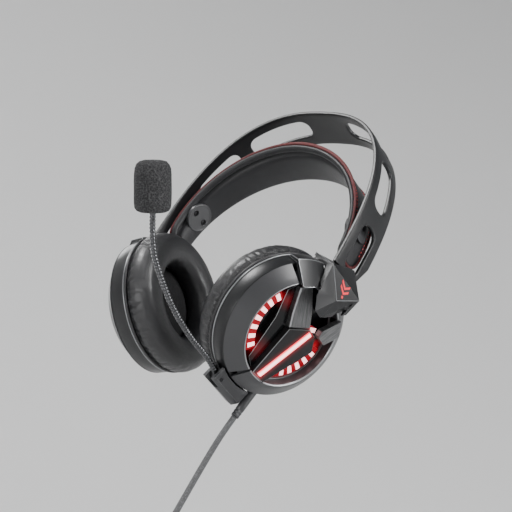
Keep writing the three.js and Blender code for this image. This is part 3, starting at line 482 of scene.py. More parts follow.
for vert in bow.verts:
    point, normal = bow_arch.at(vert.co.x)
    bulge = BOW_CROWNING * (1 - (vert.co.y / half) ** 2)
    seated = min(max((bow_end - abs(vert.co.x) - 12) / 20, 0), 1)
    vert.co = point + normal * (vert.co.z + bulge * seated) + Vector((0, vert.co.y, 0))

moulded = Paint("moulded_charcoal", (0.01, 0.01, 0.011), 0.36, Specular_IOR_Level=0.32)
spot = moulded.place()
cloud = moulded.noise(spot, 22, 3.0)
grain = moulded.noise(spot, 2600, 2.0)
moulded.tint(cloud, (0.0055, 0.0056, 0.0062), (0.0095, 0.0098, 0.0108))
moulded.set("Roughness", 0.3 + cloud * 0.1)
moulded.emboss(grain, 0.00006, 0.6)
show("outer_bow", bow, [moulded], "frame", "charcoal_plastic", ("bow",), sharp=40)

# ---------------------------------------------------------------- the strap
# A padded band of black leatherette on a round arch inside the bow. A firm bead runs along
# its front edge beside a deep groove, and rough red piping is sewn round its outer edge.
STRAP_RADIUS = 81.7
STRAP_MIDDLE = -79.5
strap_arch = Arch(STRAP_RADIUS, STRAP_RADIUS, 2, STRAP_MIDDLE)
TONGUE = 8.2
TIP = 11  # each end is rounded over this length
strap_end = strap_arch.length + TONGUE


def strap_half_width(run):
    leg = min(abs(run) / strap_arch.length, 1)
    width = 19 - 7 * leg ** 1.5
    into_tip = (abs(run) - strap_end + TIP) / TIP
    if into_tip > 0:
        width *= max(1 - into_tip ** 2.6, 0.0) ** (1 / 2.6)
    return width


def strap_ring(run):
    """The strap's section: from the groove over the pad, round the rear edge, back over the bead."""
    point, normal = strap_arch.at(run)
    wide = max(strap_half_width(run), 0.4)
    fit = min(1.0, wide / 9)
    pad, bead = 8.2 * fit - wide, 2.75 * fit
    section = [(pad + y * fit, n * fit) for y, n in ((-1.2, 0.6), (-0.5, -0.6), (0.4, -1.9))]
    for share in (0.06, 0.18, 0.35, 0.55, 0.75, 0.88, 0.95):
        section.append((pad + (wide - pad) * share, fit * (-2.4 - 1.2 * (1 - (2 * share - 0.9) ** 2))))
    for degrees in (-60, -20, 20, 60):
        a = math.radians(degrees)
        section.append((wide + fit * (1.5 * math.cos(a) - 1.5), fit * 1.9 * math.sin(a)))
    for share in (0.8, 0.4, 0, -0.4, -0.7):
        section.append((wide * share, fit * (2.2 + 0.3 * (1 - share * share))))
    for degrees in range(150, 391, 24):
        a = math.radians(degrees)
        section.append((bead - wide + bead * math.cos(a), bead * math.sin(a) * 0.9 - 0.25 * fit))
    return [point + normal * n + Vector((0, y, 0)) for y, n in section]


def loft(rings):
    """A closed body through rings of as many points each."""
    shape = bmesh.new()
    rows = [[shape.verts.new(p) for p in ring] for ring in rings]
    count = len(rows[0])
    for a, b in zip(rows, rows[1:]):
        for j in range(count):
            k = (j + 1) % count
            shape.faces.new((a[j], a[k], b[k], b[j]))
    shape.faces.new(rows[0][::-1])
    shape.faces.new(rows[-1])
    return shape


tip_runs = [strap_end - TIP * (1 - t) for t in (0.2, 0.4, 0.55, 0.68, 0.79, 0.87, 0.93, 0.97, 0.99, 0.998)]
arch_runs = [strap_end - TIP - i * (strap_end - TIP) / 60 for i in range(60)]
strap_runs = [-r for r in tip_runs[::-1]] + [-r for r in arch_runs] + [0] + arch_runs[::-1] + tip_runs

leather = Paint("black_leatherette", (0.008, 0.008, 0.009), 0.42, Specular_IOR_Level=0.34)
spot = leather.place()
pores = leather.cell_walls(spot, 1300)
creases = leather.noise(spot, 240, 4.0, 0.62)
tone = leather.noise(spot, 16, 2.0)
leather.tint(tone, (0.0045, 0.0045, 0.0055), (0.0095, 0.0095, 0.011))
leather.set("Roughness", 0.36 + creases * 0.16)
leather.emboss(leather.math("MINIMUM", pores * 6, 0.35) + creases * 0.6, 0.00012, 0.8)
strap = show("strap_pad", loft([strap_ring(r) for r in strap_runs]), [leather], "headband", "leatherette",
             ("strap",), sharp=75)

# rough piping round the whole outer edge, closed at the back
piping_line = []
edge_runs = sorted(strap_runs)
middle_run = len(edge_runs) // 2
for side, runs in ((1, edge_runs[middle_run:]), (-1, edge_runs[::-1]), (1, edge_runs[:middle_run + 1])):
    for run in runs:
        point, normal = strap_arch.at(run)
        wide = strap_half_width(run)
        crown = max(1 - abs(run) / 105, 0)
        piping_line.append(point + normal * (2.1 + 0.5 * crown) + Vector((0, side * max(wide - 1.0, 0), 0)))
piping_line = smooth_line([p for p, q in zip(piping_line, piping_line[1:]) if (p - q).length > 0.15], 0.7)


def knurled(run, angle):
    place = piping_line[min(int(run / 0.7), len(piping_line) - 1)]
    crown = max(1 - abs(place.x) / 70, 0)
    knurl = math.sin(5 * angle + run * 2.6) * math.sin(5 * angle - run * 2.6)
    return 0.95 + 0.75 * crown ** 0.7 + 0.16 * knurl


piping = Paint("red_piping", (0.2, 0.006, 0.008), 0.6)
hatch, cross = spirals(piping, 7, 620)
threads = piping.math("MAXIMUM", hatch * cross, 0)
piping.tint(threads ** 1.4, (0.022, 0.0006, 0.001), (0.46, 0.006, 0.011))
piping.emboss(threads, 0.0003)
show("strap_piping", tube(piping_line, knurled, 12), [piping], "headband", "leatherette", sharp=60)


def stitches(places, radius):
    """Short threads, each between two points, as one body of separate capsules."""
    shape = bmesh.new()
    for start, end in places:
        along = end - start
        turn = along.to_track_quat("Z", "Y").to_matrix().to_4x4()
        size = Matrix.Diagonal((radius, radius, along.length / 2, 1))
        pose = Matrix.Translation((start + end) / 2) @ turn @ size
        bmesh.ops.create_icosphere(shape, subdivisions=1, radius=1.0, matrix=pose)
    return shape


def strap_seam(inset, lift, pitch, length):
    places = []
    unsewn = 9
    count = int(2 * (strap_end - unsewn) / pitch)
    for side in (-1, 1):
        for i in range(count):
            ends = []
            for run in (i * pitch, i * pitch + length):
                run += unsewn - strap_end
                point, normal = strap_arch.at(run)
                wide = strap_half_width(run)
                ends.append(point + normal * lift + Vector((0, side * (wide - inset), 0)))
            places.append(ends)
    return places


thread = Paint("red_thread", (0.5, 0.02, 0.025), 0.55, Sheen_Weight=0.3)
thread.tint(thread.noise(thread.place(), 900), (0.35, 0.01, 0.014), (0.62, 0.03, 0.035))
show("strap_stitches", stitches(strap_seam(4.0, 2.45, 3.2, 2.1), 0.34), [thread], "headband", "leatherette")

# ---------------------------------------------------------------- strap caps, screws and clips
# At each end a round cap is screwed through the strap from inside, with two recessed
# cross-head screws, into a clip that slides on the bow's lower slot.
def carve(shape, *cutters, join=False):
    """A shape with others cut out of it, or joined to it."""
    holders = []
    for body in (shape, *cutters):
        bmesh.ops.recalc_face_normals(body, faces=body.faces)
        mesh = bpy.data.meshes.new("carving")
        body.to_mesh(mesh)
        body.free()
        holder = bpy.data.objects.new("carving", mesh)
        bpy.context.collection.objects.link(holder)
        holders.append(holder)
    for cutter in holders[1:]:
        cut = holders[0].modifiers.new("carving", "BOOLEAN")
        cut.operation = "UNION" if join else "DIFFERENCE"
        cut.solver = "EXACT"
        cut.object = cutter
    bpy.context.view_layer.update()
    carved = bpy.data.meshes.new_from_object(holders[0].evaluated_get(bpy.context.evaluated_depsgraph_get()))
    result = bmesh.new()
    result.from_mesh(carved)
    bmesh.ops.remove_doubles(result, verts=result.verts, dist=1e-3)
    for holder in holders:
        mesh = holder.data
        bpy.data.objects.remove(holder)
        bpy.data.meshes.remove(mesh)
    bpy.data.meshes.remove(carved)
    return result


def joined(*shapes):
    """Several separate bodies as one shape."""
    whole = shapes[0]
    for shape in shapes[1:]:
        mesh = bpy.data.meshes.new("joining")
        shape.to_mesh(mesh)
        shape.free()
        whole.from_mesh(mesh)
        bpy.data.meshes.remove(mesh)
    return whole


def brick(low, high):
    """A box between two corners."""
    shape = bmesh.new()
    low, high = Vector(low), Vector(high)
    pose = Matrix.Translation((low + high) / 2) @ Matrix.Diagonal((*(high - low), 1))
    bmesh.ops.create_cube(shape, size=1.0, matrix=pose)
    return shape


def moved(shape, matrix):
    """A shape after a turn, shift or reflection."""
    bmesh.ops.transform(shape, matrix=matrix, verts=shape.verts)
    return shape


CAP_ANGLE = math.radians(14.5)
SCREWS = (-5.5, 5.5)
mirror = Matrix.Diagonal((-1, 1, 1, 1))
normal = Vector((math.cos(CAP_ANGLE), 0, math.sin(CAP_ANGLE)))
cap_pose = Matrix.Translation(Vector((0, 0, STRAP_MIDDLE)) - STRAP_MIDDLE * normal) @ axes(
    normal, (0, 1, 0), (-normal.z, 0, normal.x))


def on_both(name, make, paints, body, slot, stands_for, pose, **options):
    """The same piece on the left and, mirrored, on the right."""
    for side, turn in (("left", pose), ("right", mirror @ pose)):
        show(f"{side}_{name}", moved(make(), turn), paints, body.format(side=side), slot,
             tuple(node.format(side=side) for node in stands_for), **options)


def cap_disc():
    disc = lathe([[0, 0.6], [11, 0.6], [11.3, 0.3], [11.3, -2.0], [11.15, -2.4], [10.7, -2.62], [10.2, -2.7],
                  [9.7, -2.62], [9.5, -2.45], [0, -2.4]], 72, closed=False)
    seats = []
    for rear in SCREWS:
        seat = lathe([[0, -4], [2.7, -4], [2.7, -2.5], [2.3, -2.1], [2.3, -0.7], [0, -0.7]], 32, closed=False)
        seats.append(moved(seat, Matrix.Translation((0, rear, 0))))
    return carve(disc, *seats)


def screw(rear):
    head = lathe([[0, -1.75], [0.9, -1.7], [1.5, -1.55], [1.85, -1.25], [1.9, -0.95], [1.2, -0.8], [1.1, 0.8],
                  [0, 0.8]], 28, closed=False)
    blades = [brick((-2.2, -1.2, -0.3), (-1.2, 1.2, 0.3)), brick((-2.2, -0.3, -1.2), (-1.2, 0.3, 1.2))]
    return moved(carve(head, *blades), Matrix.Translation((0, rear, 0)) @ Matrix.Rotation(0.5 + rear, 4, "X"))


satin = Paint("satin_plastic", (0.02, 0.02, 0.022), 0.34, Specular_IOR_Level=0.42)
spot = satin.place()
satin.tint(satin.noise(spot, 26), (0.018, 0.0183, 0.02), (0.027, 0.0274, 0.0296))
satin.set("Roughness", 0.3 + satin.noise(spot, 55, 3.0) * 0.12)
satin.emboss(satin.noise(spot, 2400, 2.0), 0.00005, 0.5)

steel = Paint("plain_steel", (0.32, 0.32, 0.33), 0.3, 1.0)
spot = steel.place()
steel.set("Roughness", 0.24 + steel.noise(spot, 400, 3.0) * 0.2)
steel.emboss(steel.noise(spot, 3000), 0.00003, 0.4)

on_both("cap_disc", cap_disc, [satin], "headband", "satin_plastic", ("{side}_strap_cap",), cap_pose)
black_steel = Paint("blackened_steel", (0.03, 0.03, 0.032), 0.35, 0.9)
black_steel.set("Roughness", 0.28 + black_steel.noise(black_steel.place(), 600) * 0.2)
for number, rear in enumerate(SCREWS, 1):
    on_both(f"screw_{number}", lambda: screw(rear), [black_steel], "headband", "steel",
            (f"{{side}}_cap_screw_{number}",), cap_pose)


def from_node(node):
    """A CAD node's own shape, in millimetres."""
    shape = bmesh.new()
    shape.from_mesh(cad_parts[node].data)
    bmesh.ops.scale(shape, vec=(1000, 1000, 1000), verts=shape.verts)
    bmesh.ops.remove_doubles(shape, verts=shape.verts, dist=1e-3)
    return shape


def spanned(corners):
    """The convex body over some points."""
    shape = bmesh.new()
    bmesh.ops.convex_hull(shape, input=[shape.verts.new(c) for c in corners])
    bmesh.ops.delete(shape, geom=[v for v in shape.verts if not v.link_faces], context="VERTS")
    return shape


def eased(shape, width, bright=0, angle=24, flat=1.0):
    """A shape with its outer edges eased, the bevels in a second paint."""
    bmesh.ops.dissolve_limit(shape, angle_limit=math.radians(flat), verts=shape.verts, edges=shape.edges)
    ridges = [e for e in shape.edges if len(e.link_faces) == 2 and e.is_convex
              and e.calc_face_angle() > math.radians(angle)]
    bmesh.ops.bevel(shape, geom=ridges, offset=width, offset_type="OFFSET", segments=2, profile=0.6,
                    affect="EDGES", material=bright, clamp_overlap=True)
    return shape


def show_eased(name, node, width, paints, body, slot, bright=0, angle=24, flat=1.0, sharp=32):
    """A piece made from a CAD node with its edges eased."""
    show(name, eased(from_node(node), width, bright, angle, flat), paints, body, slot, (node,), sharp)


for side in ("left", "right"):
    show_eased(f"{side}_clip", f"{side}_slider_clip", 0.35, [satin], "headband", "satin_plastic")

# ---------------------------------------------------------------- the hinge blocks
# A faceted charcoal block on each end of the bow hides the cup's pivot, and a steel pin goes
# through it. An outer cover gives it one more ridge, and narrow bright edges in a light paint, painted
# highlights, run along the ridges.
# Eased edges, ridge strips, rims and the seam bead take this light metallic paint: partly a polished chamfer,
# lightened as a painted highlight where edges catch the light.
painted_highlight_chamfer = Paint("polished_chamfer_painted_highlight", (0.24, 0.245, 0.252), 0.3, 0.7)
painted_highlight_chamfer.set("Roughness", 0.22 + painted_highlight_chamfer.noise(painted_highlight_chamfer.place(), 300) * 0.2)
# the cover's corners on the left block; the first three are the ends of its ridges
COVER = [(93.0, -20.4, -103.0), (99.9, 12.8, -108.3), (100, -7.4, -123.5), (94.1, -20.6, -129.6),
         (95.1, -15.9, -138.9), (95.1, -8.4, -139.2), (93.6, -5.8, -94.8), (94.1, 0.3, -92.4)]
PIN = Vector((94.5, -2, -116.8))


def repaint(node, paint):
    """A finish for a CAD piece that keeps its own shape."""
    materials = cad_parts[node].data.materials
    materials.clear()
    materials.append(paint.material)


def swung_collar(side, hand):
    """The room that the cup's collar needs near the end of its swing."""
    corners = []
    pin = Vector((PIN.x * hand, PIN.y, PIN.z))
    arms = [v.co * 1000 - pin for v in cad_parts[f"{side}_top_panel"].data.vertices]
    for degrees in (19, 23, 28.5):
        swing = Matrix.Rotation(math.radians(-degrees * hand), 3, "Y")
        corners += [pin + swing @ arm for arm in arms]
    return spanned(corners)


for side, hand in (("left", 1), ("right", -1)):
    cover = spanned([(hand * x, y, z) for x, y, z in COVER])
    block = carve(carve(from_node(f"{side}_hinge_block"), cover, join=True), swung_collar(side, hand))
    # The block's eased ridges take the light paint, and thin strips along three ridges stand in for the
    # bright lines there: painted highlights.
    show(f"{side}_block", eased(block, 0.45, bright=1, angle=11), [moulded, painted_highlight_chamfer], "frame",
         "charcoal_plastic", (f"{side}_hinge_block",), sharp=20)
    ridges = [((72.0, -18.9, -93.8), COVER[0]), (COVER[0], COVER[2]), (COVER[2], COVER[1])]
    strips = [tube([Vector((hand * x, y, z)) for x, y, z in ridge], 0.3, 6) for ridge in ridges]
    show(f"{side}_block_painted_ridge_highlights", joined(*strips), [painted_highlight_chamfer], "frame", "charcoal_plastic")
    repaint(f"{side}_hinge_pin", steel)

# ---------------------------------------------------------------- the red marks
# A plain mark of two chevrons and a dot is printed in red on each block's outer facet, with a faint painted
# glow.
facet_out = Vector((0.961, -0.167, 0.222)).normalized()
facet_up = (Vector((0, 0, 1)) - facet_out * facet_out.z).normalized()
mark_pose = Matrix.Translation(Vector((97.6, -3.4, -110.6)) + facet_out * 0.06) @ axes(
    facet_out, facet_up.cross(facet_out), facet_up)


def prism(outline, low, high, ease=0.0, walls=0):
    """A body over an outline of [rear, up] points; its top edge is a chamfer in a second paint."""
    shape = bmesh.new()
    under = [shape.verts.new((low, y, z)) for y, z in outline]
    over = [shape.verts.new((high, y, z)) for y, z in outline]
    shape.faces.new(over)
    shape.faces.new(under[::-1])
    for i in range(len(outline)):
        k = (i + 1) % len(outline)
        shape.faces.new((under[i], under[k], over[k], over[i])).material_index = walls
    bmesh.ops.recalc_face_normals(shape, faces=shape.faces)
    if ease:
        rim = [e for e in shape.edges if e.verts[0].co.x == high and e.verts[1].co.x == high]
        bmesh.ops.bevel(shape, geom=rim, offset=ease, offset_type="OFFSET", segments=1, profile=0.5,
                        affect="EDGES", material=1)
    return shape


def chevron_mark():
    bars = []
    for lift in (-4.2, 0.0):
        bars.append(prism([(-4.4, lift + 2.8), (0, lift - 1.2), (4.4, lift + 2.8), (4.4, lift + 4.8),
                           (0, lift + 0.9), (-4.4, lift + 4.8)], 0, 0.18))
    bars.append(prism([(-0.8, -8.4), (0.8, -8.4), (0.8, -6.4), (-0.8, -6.4)], 0, 0.18))
    return joined(*bars)


# The printed red mark also emits a faint painted glow.
print_with_painted_glow = Paint("printed_red_painted_glow", (0.6, 0.02, 0.03), 0.4, Emission_Strength=0.35)
print_with_painted_glow.set("Emission Color", print_with_painted_glow.blend(print_with_painted_glow.noise(print_with_painted_glow.place(), 700), (0.5, 0.01, 0.02),
                                                (0.8, 0.03, 0.04)))
on_both("block_mark", chevron_mark, [print_with_painted_glow], "frame", "red_light", (), mark_pose)

# ---------------------------------------------------------------- the ear cups' shells
# Each cup is a short drum of charcoal plastic closed by a cone-shaped bezel. A thin
# polished bead runs round the cushion seam, its light paint partly a painted highlight, and two
# tapered notches are cut in the cone.
cup_out = Vector((0.930418, 0, -0.366501))
cup_up = Vector((0.366501, 0, 0.930418))
cup_pose = Matrix.Translation((54.7187, -2, -144.1209)) @ axes(cup_out, (0, 1, 0), cup_up)
CONE_FOOT = (48.9, 12.7)
CONE_TOP = (38.7, 21.8)
FACE = 13.4  # the lit face, and the bezel's edge above it, measured out from the cup's seam
EDGE = 22.2
UPPER_BLADE = [(-25, 24.2), (-17.2, 30.9), (-0.8, 19.4), (7, 12.2), (-7.1, 1.6), (-14, 9)]
SIDE_BLADE = [(14.8, 17.4), (20.9, 32.2), (29.1, 24.4), (27.9, 20.5), (24.4, 12.2), (16.2, 12.6)]
WEDGE = [(-6.2, 0.9), (7.8, 11.6), (15.5, 11.2), (23.5, 3), (14.6, -24.5), (10.5, -36.4), (-2.4, -36.6)]


def grown(outline, distance):
    """A convex outline moved outwards."""
    count = len(outline)
    area = sum(x * outline[(i + 1) % count][1] - outline[(i + 1) % count][0] * y
               for i, (x, y) in enumerate(outline))
    sign = 1 if area > 0 else -1
    result = []
    for i, (x, y) in enumerate(outline):
        (px, py), (qx, qy) = outline[i - 1], outline[(i + 1) % count]
        a = Vector((y - py, px - x)).normalized() * sign
        b = Vector((qy - y, x - qx)).normalized() * sign
        shift = (a + b) * (distance / (1 + a.dot(b)))
        result.append((x + shift.x, y + shift.y))
    return result


def on_face(shape):
    """Stores each point's [rear, up] place in the cup, in metres, as a map for the paints."""
    layer = shape.loops.layers.uv.new("on_face")
    for face in shape.faces:
        for loop in face.loops:
            loop[layer].uv = (loop.vert.co.y / 1000, loop.vert.co.z / 1000)
    return shape


def drum_shell():
    return lathe([[47.6, 0.2], [49.2, 0], [49.9, 0.25], [50, 0.8], [49.95, 1.5], [49.75, 1.9], [49.72, 2.1],
                  [49.6, 4], [48.95, 12], [48.7, 12.35], [46.7, 12.35]], 128)


def bezel_cone():
    (foot_r, foot_x), (top_r, top_x) = CONE_FOOT, CONE_TOP
    cone = lathe([[foot_r - 2.4, foot_x], [foot_r - 0.3, foot_x], [foot_r, foot_x + 0.25],
                  [(foot_r * 2 + top_r) / 3, (foot_x * 2 + top_x) / 3 + 0.12],
                  [(foot_r + top_r * 2) / 3, (foot_x + top_x * 2) / 3 + 0.12],
                  [top_r, top_x], [38.1, 22.12], [37.75, 22.2], [37.2, 22.0], [36.9, 21.5],
                  [36.1, 12], [37.6, 12], [38.3, 19.2]], 128)
    cutters = [prism(grown(outline, 0.4), 10, 30) for outline in (UPPER_BLADE, SIDE_BLADE, WEDGE)]
    slope = Vector((top_x - foot_x, top_r - foot_r)).normalized()
    for degrees in (138, 262):
        notch = prism([(-3.1, -2.5), (-3.1, 2.5), (17, 0.7), (17, -0.7)], -1.9, 5)
        lie = Matrix(((-slope.y, slope.x, 0), (0, 0, 1), (slope.x, slope.y, 0))).to_4x4()
        seat = Matrix.Translation((foot_x + 0.15, 0, foot_r)) @ lie
        around = Matrix.Rotation(math.radians(degrees - 90), 4, "X")
        cutters.append(moved(notch, around @ seat))
    cone = carve(cone, *cutters)
    # The faces of the bezel's rounded inner edge take the light paint, a painted highlight.
    for face in cone.faces:
        middle_point = face.calc_center_median()
        if math.hypot(middle_point.y, middle_point.z) < 38.15 and middle_point.x > 21.55:
            face.material_index = 1
    return cone


def seam_bead():
    ring = [[50.05 + 0.5 * math.cos(math.radians(a)), 0.75 + 0.5 * math.sin(math.radians(a))]
            for a in range(0, 360, 45)]
    return lathe(ring, 128)


def on_cups(name, make, paints, slot, node=None, **options):
    """The same piece on both cups, and the CAD node on each that it stands for."""
    stands_for = (f"{{side}}_{node}",) if node else ()
    on_both(name, make, paints, "{side}_cup", slot, stands_for, cup_pose, **options)


on_cups("cup_drum", drum_shell, [moulded], "charcoal_plastic", "drum")
on_cups("cup_bezel", bezel_cone, [satin, painted_highlight_chamfer], "satin_plastic", "bezel", sharp=24)
# The seam bead is in the light paint, partly a painted highlight.
on_cups("cup_seam_bead", seam_bead, [painted_highlight_chamfer], "satin_plastic", sharp=80)
for side in ("left", "right"):
    # The collar's eased edges take the light paint, a painted highlight.
    show_eased(f"{side}_collar", f"{side}_top_panel", 0.4, [moulded, painted_highlight_chamfer], f"{side}_cup",
               "charcoal_plastic", bright=1, angle=30, flat=3, sharp=25)
    show_eased(f"{side}_lug", f"{side}_hinge_lug", 0.4, [moulded], f"{side}_cup", "charcoal_plastic")

# ---------------------------------------------------------------- the lit faces
# Behind the bezel lies a gloss black face. Two rows of windows and a bar shine red through
# clear plastic, and a red glow is painted on the face and a creased panel beside them where their light
# spills.
RED = (1.0, 0.012, 0.03)
LIGHT_RADIUS = 30.4
GLOW_REACH = 0.0065  # metres from a light to where its glow on the face ends
WINDOW_STEP = 12.2  # degrees from one window to the next
WINDOW_HALF = 2.9
UPPER_ROW = (7, 199.5, 4.4)  # how many windows, the row's middle angle and its height
LOWER_ROW = (5, -18, 2.2)


def sector(inner, outer, first, last, low, high, ease=0.0, walls=0):
    """A body over part of a ring, between two angles in degrees from the rear towards the top."""
    steps = max(2, math.ceil((last - first) / 3))
    angles = [math.radians(first + (last - first) * i / steps) for i in range(steps + 1)]
    outline = [(outer * math.cos(a), outer * math.sin(a)) for a in angles]
    outline += [(inner * math.cos(a), inner * math.sin(a)) for a in reversed(angles)]
    return prism(outline, low, high, ease, walls)


gloss_with_painted_glow = Paint("gloss_black", (0.002, 0.002, 0.0025), 0.14, Specular_IOR_Level=0.3,
              Emission_Strength=1.1)
rear, up = gloss_with_painted_glow.split_map("on_face")
reach = (rear * rear + up * up) ** 0.5
off_ring = gloss_with_painted_glow.math("ABSOLUTE", reach - LIGHT_RADIUS / 1000, 0)
ring_glow = gloss_with_painted_glow.math("MAXIMUM", 1 - off_ring / GLOW_REACH, 0) ** 1.8


def facing(angle):
    """Cosine of the angle between a point's direction in the cup and a given direction."""
    a = math.radians(angle)
    return (rear * math.cos(a) + up * math.sin(a)) / (reach + 1e-5)


def soft_spot(place, size):
    """A round pool of light on the face."""
    far = ((rear - place[0]) ** 2 + (up - place[1]) ** 2) ** 0.5
    return gloss_with_painted_glow.math("MAXIMUM", 1 - far / size, 0) ** 1.6


# The face's red glow is painted: emission in bands beside the rows of windows and in round pools, not light
# cast by them.
rows = gloss_with_painted_glow.math("MAXIMUM", (facing(UPPER_ROW[1]) - 0.66) * 6, 0)
rows = gloss_with_painted_glow.math("MINIMUM", rows + gloss_with_painted_glow.math("MAXIMUM", (facing(LOWER_ROW[1]) - 0.7) * 5, 0), 1)
painted_red_glow = ring_glow * rows
for spot, size, strength in (((-0.0215, 0.0125), 0.009, 0.16), ((-0.0105, -0.023), 0.011, 0.14),
                             ((0.018, -0.02), 0.02, 0.12), ((0.024, -0.024), 0.02, 0.1)):
    painted_red_glow = painted_red_glow + soft_spot(spot, size) * strength
gloss_with_painted_glow.set("Emission Color", gloss_with_painted_glow.blend(gloss_with_painted_glow.math("MINIMUM", painted_red_glow, 1), (0, 0, 0), RED))
gloss_with_painted_glow.set("Roughness", 0.1 + gloss_with_painted_glow.noise(gloss_with_painted_glow.place(), 180, 3.0) * 0.12)

guide = Paint("red_light_guide", (0.1, 0.001, 0.003), 0.3, Specular_IOR_Level=0.2, Emission_Strength=0.5)
window = Paint("lit_window", (0.9, 0.5, 0.5), 0.3, Emission_Strength=2.6)
window_rim = Paint("lit_window_rim", (0.3, 0.01, 0.015), 0.3, Specular_IOR_Level=0.2,
                   Emission_Strength=0.85)
for lit, scale, low, high in ((guide, 260, (0.35, 0.002, 0.008), (0.9, 0.01, 0.03)),
                              (window, 320, (1, 0.4, 0.42), (1, 0.66, 0.67)),
                              (window_rim, 320, (0.9, 0.008, 0.02), (1, 0.02, 0.04))):
    lit.set("Emission Color", lit.blend(lit.noise(lit.place(), scale), low, high))


def light_row(row):
    count, middle_angle, height = row
    blocks = []
    for i in range(count):
        at = middle_angle + (i - (count - 1) / 2) * WINDOW_STEP
        blocks.append(sector(LIGHT_RADIUS - 2.7, LIGHT_RADIUS + 2.7, at - WINDOW_HALF, at + WINDOW_HALF,
                             FACE + height - 1.6, FACE + height, 0.3, 1))
    return joined(*blocks)


def light_strip(row, outer, margin):
    count, middle_angle, height = row
    span = ((count - 1) * WINDOW_STEP + 8.2) / 2 + margin
    return sector(LIGHT_RADIUS - 3.3, outer, middle_angle - span, middle_angle + span,
                  FACE + 0.3, FACE + height - 0.5, 0.2)


face_side = [[0, 11.8], [35.7, 11.8], [35.7, 13.2], [35.5, FACE], [20, FACE], [0, FACE]]
on_cups("face", lambda: on_face(lathe(face_side, 96, closed=False)), [gloss_with_painted_glow], "gloss_black", "face_plate")
for name, row, outer, margin in (("upper", UPPER_ROW, 33.9, 2.2), ("lower", LOWER_ROW, 33.6, 6)):
    on_cups(f"{name}_windows", lambda: light_row(row), [window, window_rim], "red_light",
            f"{name}_light_arc", sharp=20)
    on_cups(f"{name}_light_guide", lambda: light_strip(row, outer, margin), [guide, window_rim],
            "red_light", sharp=20)
CREASED_PANEL = [(-28.2, 17.3), (-18.5, -0.9), (-10.9, -31.3), (-3.5, -34.8), (-6.9, 0.8), (-14.6, 8.8),
                 (-25.4, 23.6)]
# The creased panel takes the face's painted red glow, and its chamfer is in the light paint, a painted
# highlight.
on_cups("creased_panel", lambda: on_face(prism(CREASED_PANEL, FACE, FACE + 4.6, 0.22)), [gloss_with_painted_glow, painted_highlight_chamfer],
        "gloss_black", sharp=20)
# A thin rim in the light paint inside the bezel, a painted highlight.
rim_inside = [[35.95, FACE], [36.15, 14.6], [35.3, 14.6], [35.0, FACE]]
on_cups("face_rim", lambda: lathe(rim_inside, 96), [painted_highlight_chamfer], "satin_plastic")

# ---------------------------------------------------------------- blades, wedge and light bar
# Two blades of dark brushed metal with bright cut edges cross the opening; the light paint of
# those edges is partly a painted highlight. A finely grained wedge between them holds the bar, a
# clear strip lit red with a white core, and a red glow round the bar is painted on the wedge.
def drawn_out(paint, degrees, share):
    """Coordinates on the face, shrunk to a share along a direction so that spots become lines."""
    flat = paint.node("UVMap", {"uv_map": "on_face"})
    turned = paint.node("Mapping", None, {"Vector": flat, "Rotation": (0, 0, -math.radians(degrees))})
    return paint.node("Mapping", None, {"Vector": turned, "Scale": (share, 1, 1)})


def brushed(name, degrees):
    """Dark metal brushed along a direction, in degrees from the rear towards the top."""
    paint = Paint(name, (0.1, 0.102, 0.105), 0.38, 0.85)
    along = drawn_out(paint, degrees, 0.035)
    strokes = paint.noise(along, 3800, 3.0, 0.7)
    fine = paint.noise(along, 900, 2.0)
    tone = strokes * 0.7 + fine * 0.5
    paint.set("Base Color", paint.blend(tone ** 2 * 1.6, (0.012, 0.012, 0.0125), (0.2, 0.202, 0.206)))
    paint.set("Roughness", 0.28 + strokes * 0.26)
    paint.emboss(strokes, 0.00012, 0.7)
    return paint


upper_metal = brushed("brushed_metal_upper", -41)
side_metal = brushed("brushed_metal_side", 78)
# The blades' chamfers are in the light paint, a painted highlight.
on_cups("blade_upper", lambda: on_face(prism(UPPER_BLADE, EDGE - 4.7, EDGE + 0.3, 0.75)),
        [upper_metal, painted_highlight_chamfer], "brushed_metal", "upper_blade", sharp=20)
on_cups("blade_side", lambda: on_face(prism(SIDE_BLADE, EDGE - 2.4, EDGE + 2.6, 0.75)),
        [side_metal, painted_highlight_chamfer], "brushed_metal", "side_blade", sharp=20)

BAR_WIDTH = 3.0
bar_start, bar_end = Vector((3.6, -34.3)), Vector((10.6, 9.6))
bar_along = (bar_end - bar_start).normalized()
bar_across = Vector((-bar_along.y, bar_along.x))


def bar_outline(width):
    return [tuple(end + bar_across * (side * width / 2)) for end, side in
            ((bar_start, -1), (bar_end, -1), (bar_end, 1), (bar_start, 1))]


def off_bar(paint):
    """Distance from the bar's middle line, in metres."""
    rear, up = paint.split_map("on_face")
    across = (rear - bar_start.x / 1000) * bar_across.x + (up - bar_start.y / 1000) * bar_across.y
    return paint.math("ABSOLUTE", across, 0)


def wedge_body():
    body = prism(WEDGE, FACE + 0.3, EDGE + 0.3, 0.3)
    return on_face(carve(body, prism(grown(bar_outline(BAR_WIDTH), 0.9), FACE + 2.3, 30)))


wedge_with_painted_glow = Paint("grained_wedge_painted_glow", (0.006, 0.0055, 0.006), 0.34, Specular_IOR_Level=0.3,
                    Emission_Strength=1.0)
lines = wedge_with_painted_glow.noise(drawn_out(wedge_with_painted_glow, 81, 0.06), 1700, 2.0)
wedge_with_painted_glow.tint(lines, (0.002, 0.002, 0.0025), (0.014, 0.013, 0.014))
wedge_with_painted_glow.emboss(lines, 0.0001, 0.7)
# A red glow round the bar is painted on the wedge as emission.
bar_glow = wedge_with_painted_glow.math("MAXIMUM", 1 - off_bar(wedge_with_painted_glow) / GLOW_REACH, 0) ** 2.2
wedge_with_painted_glow.set("Emission Color", wedge_with_painted_glow.blend(bar_glow * 0.8, (0, 0, 0), RED))
on_cups("wedge", wedge_body, [wedge_with_painted_glow, painted_highlight_chamfer], "gloss_black", "wedge_panel", sharp=20)

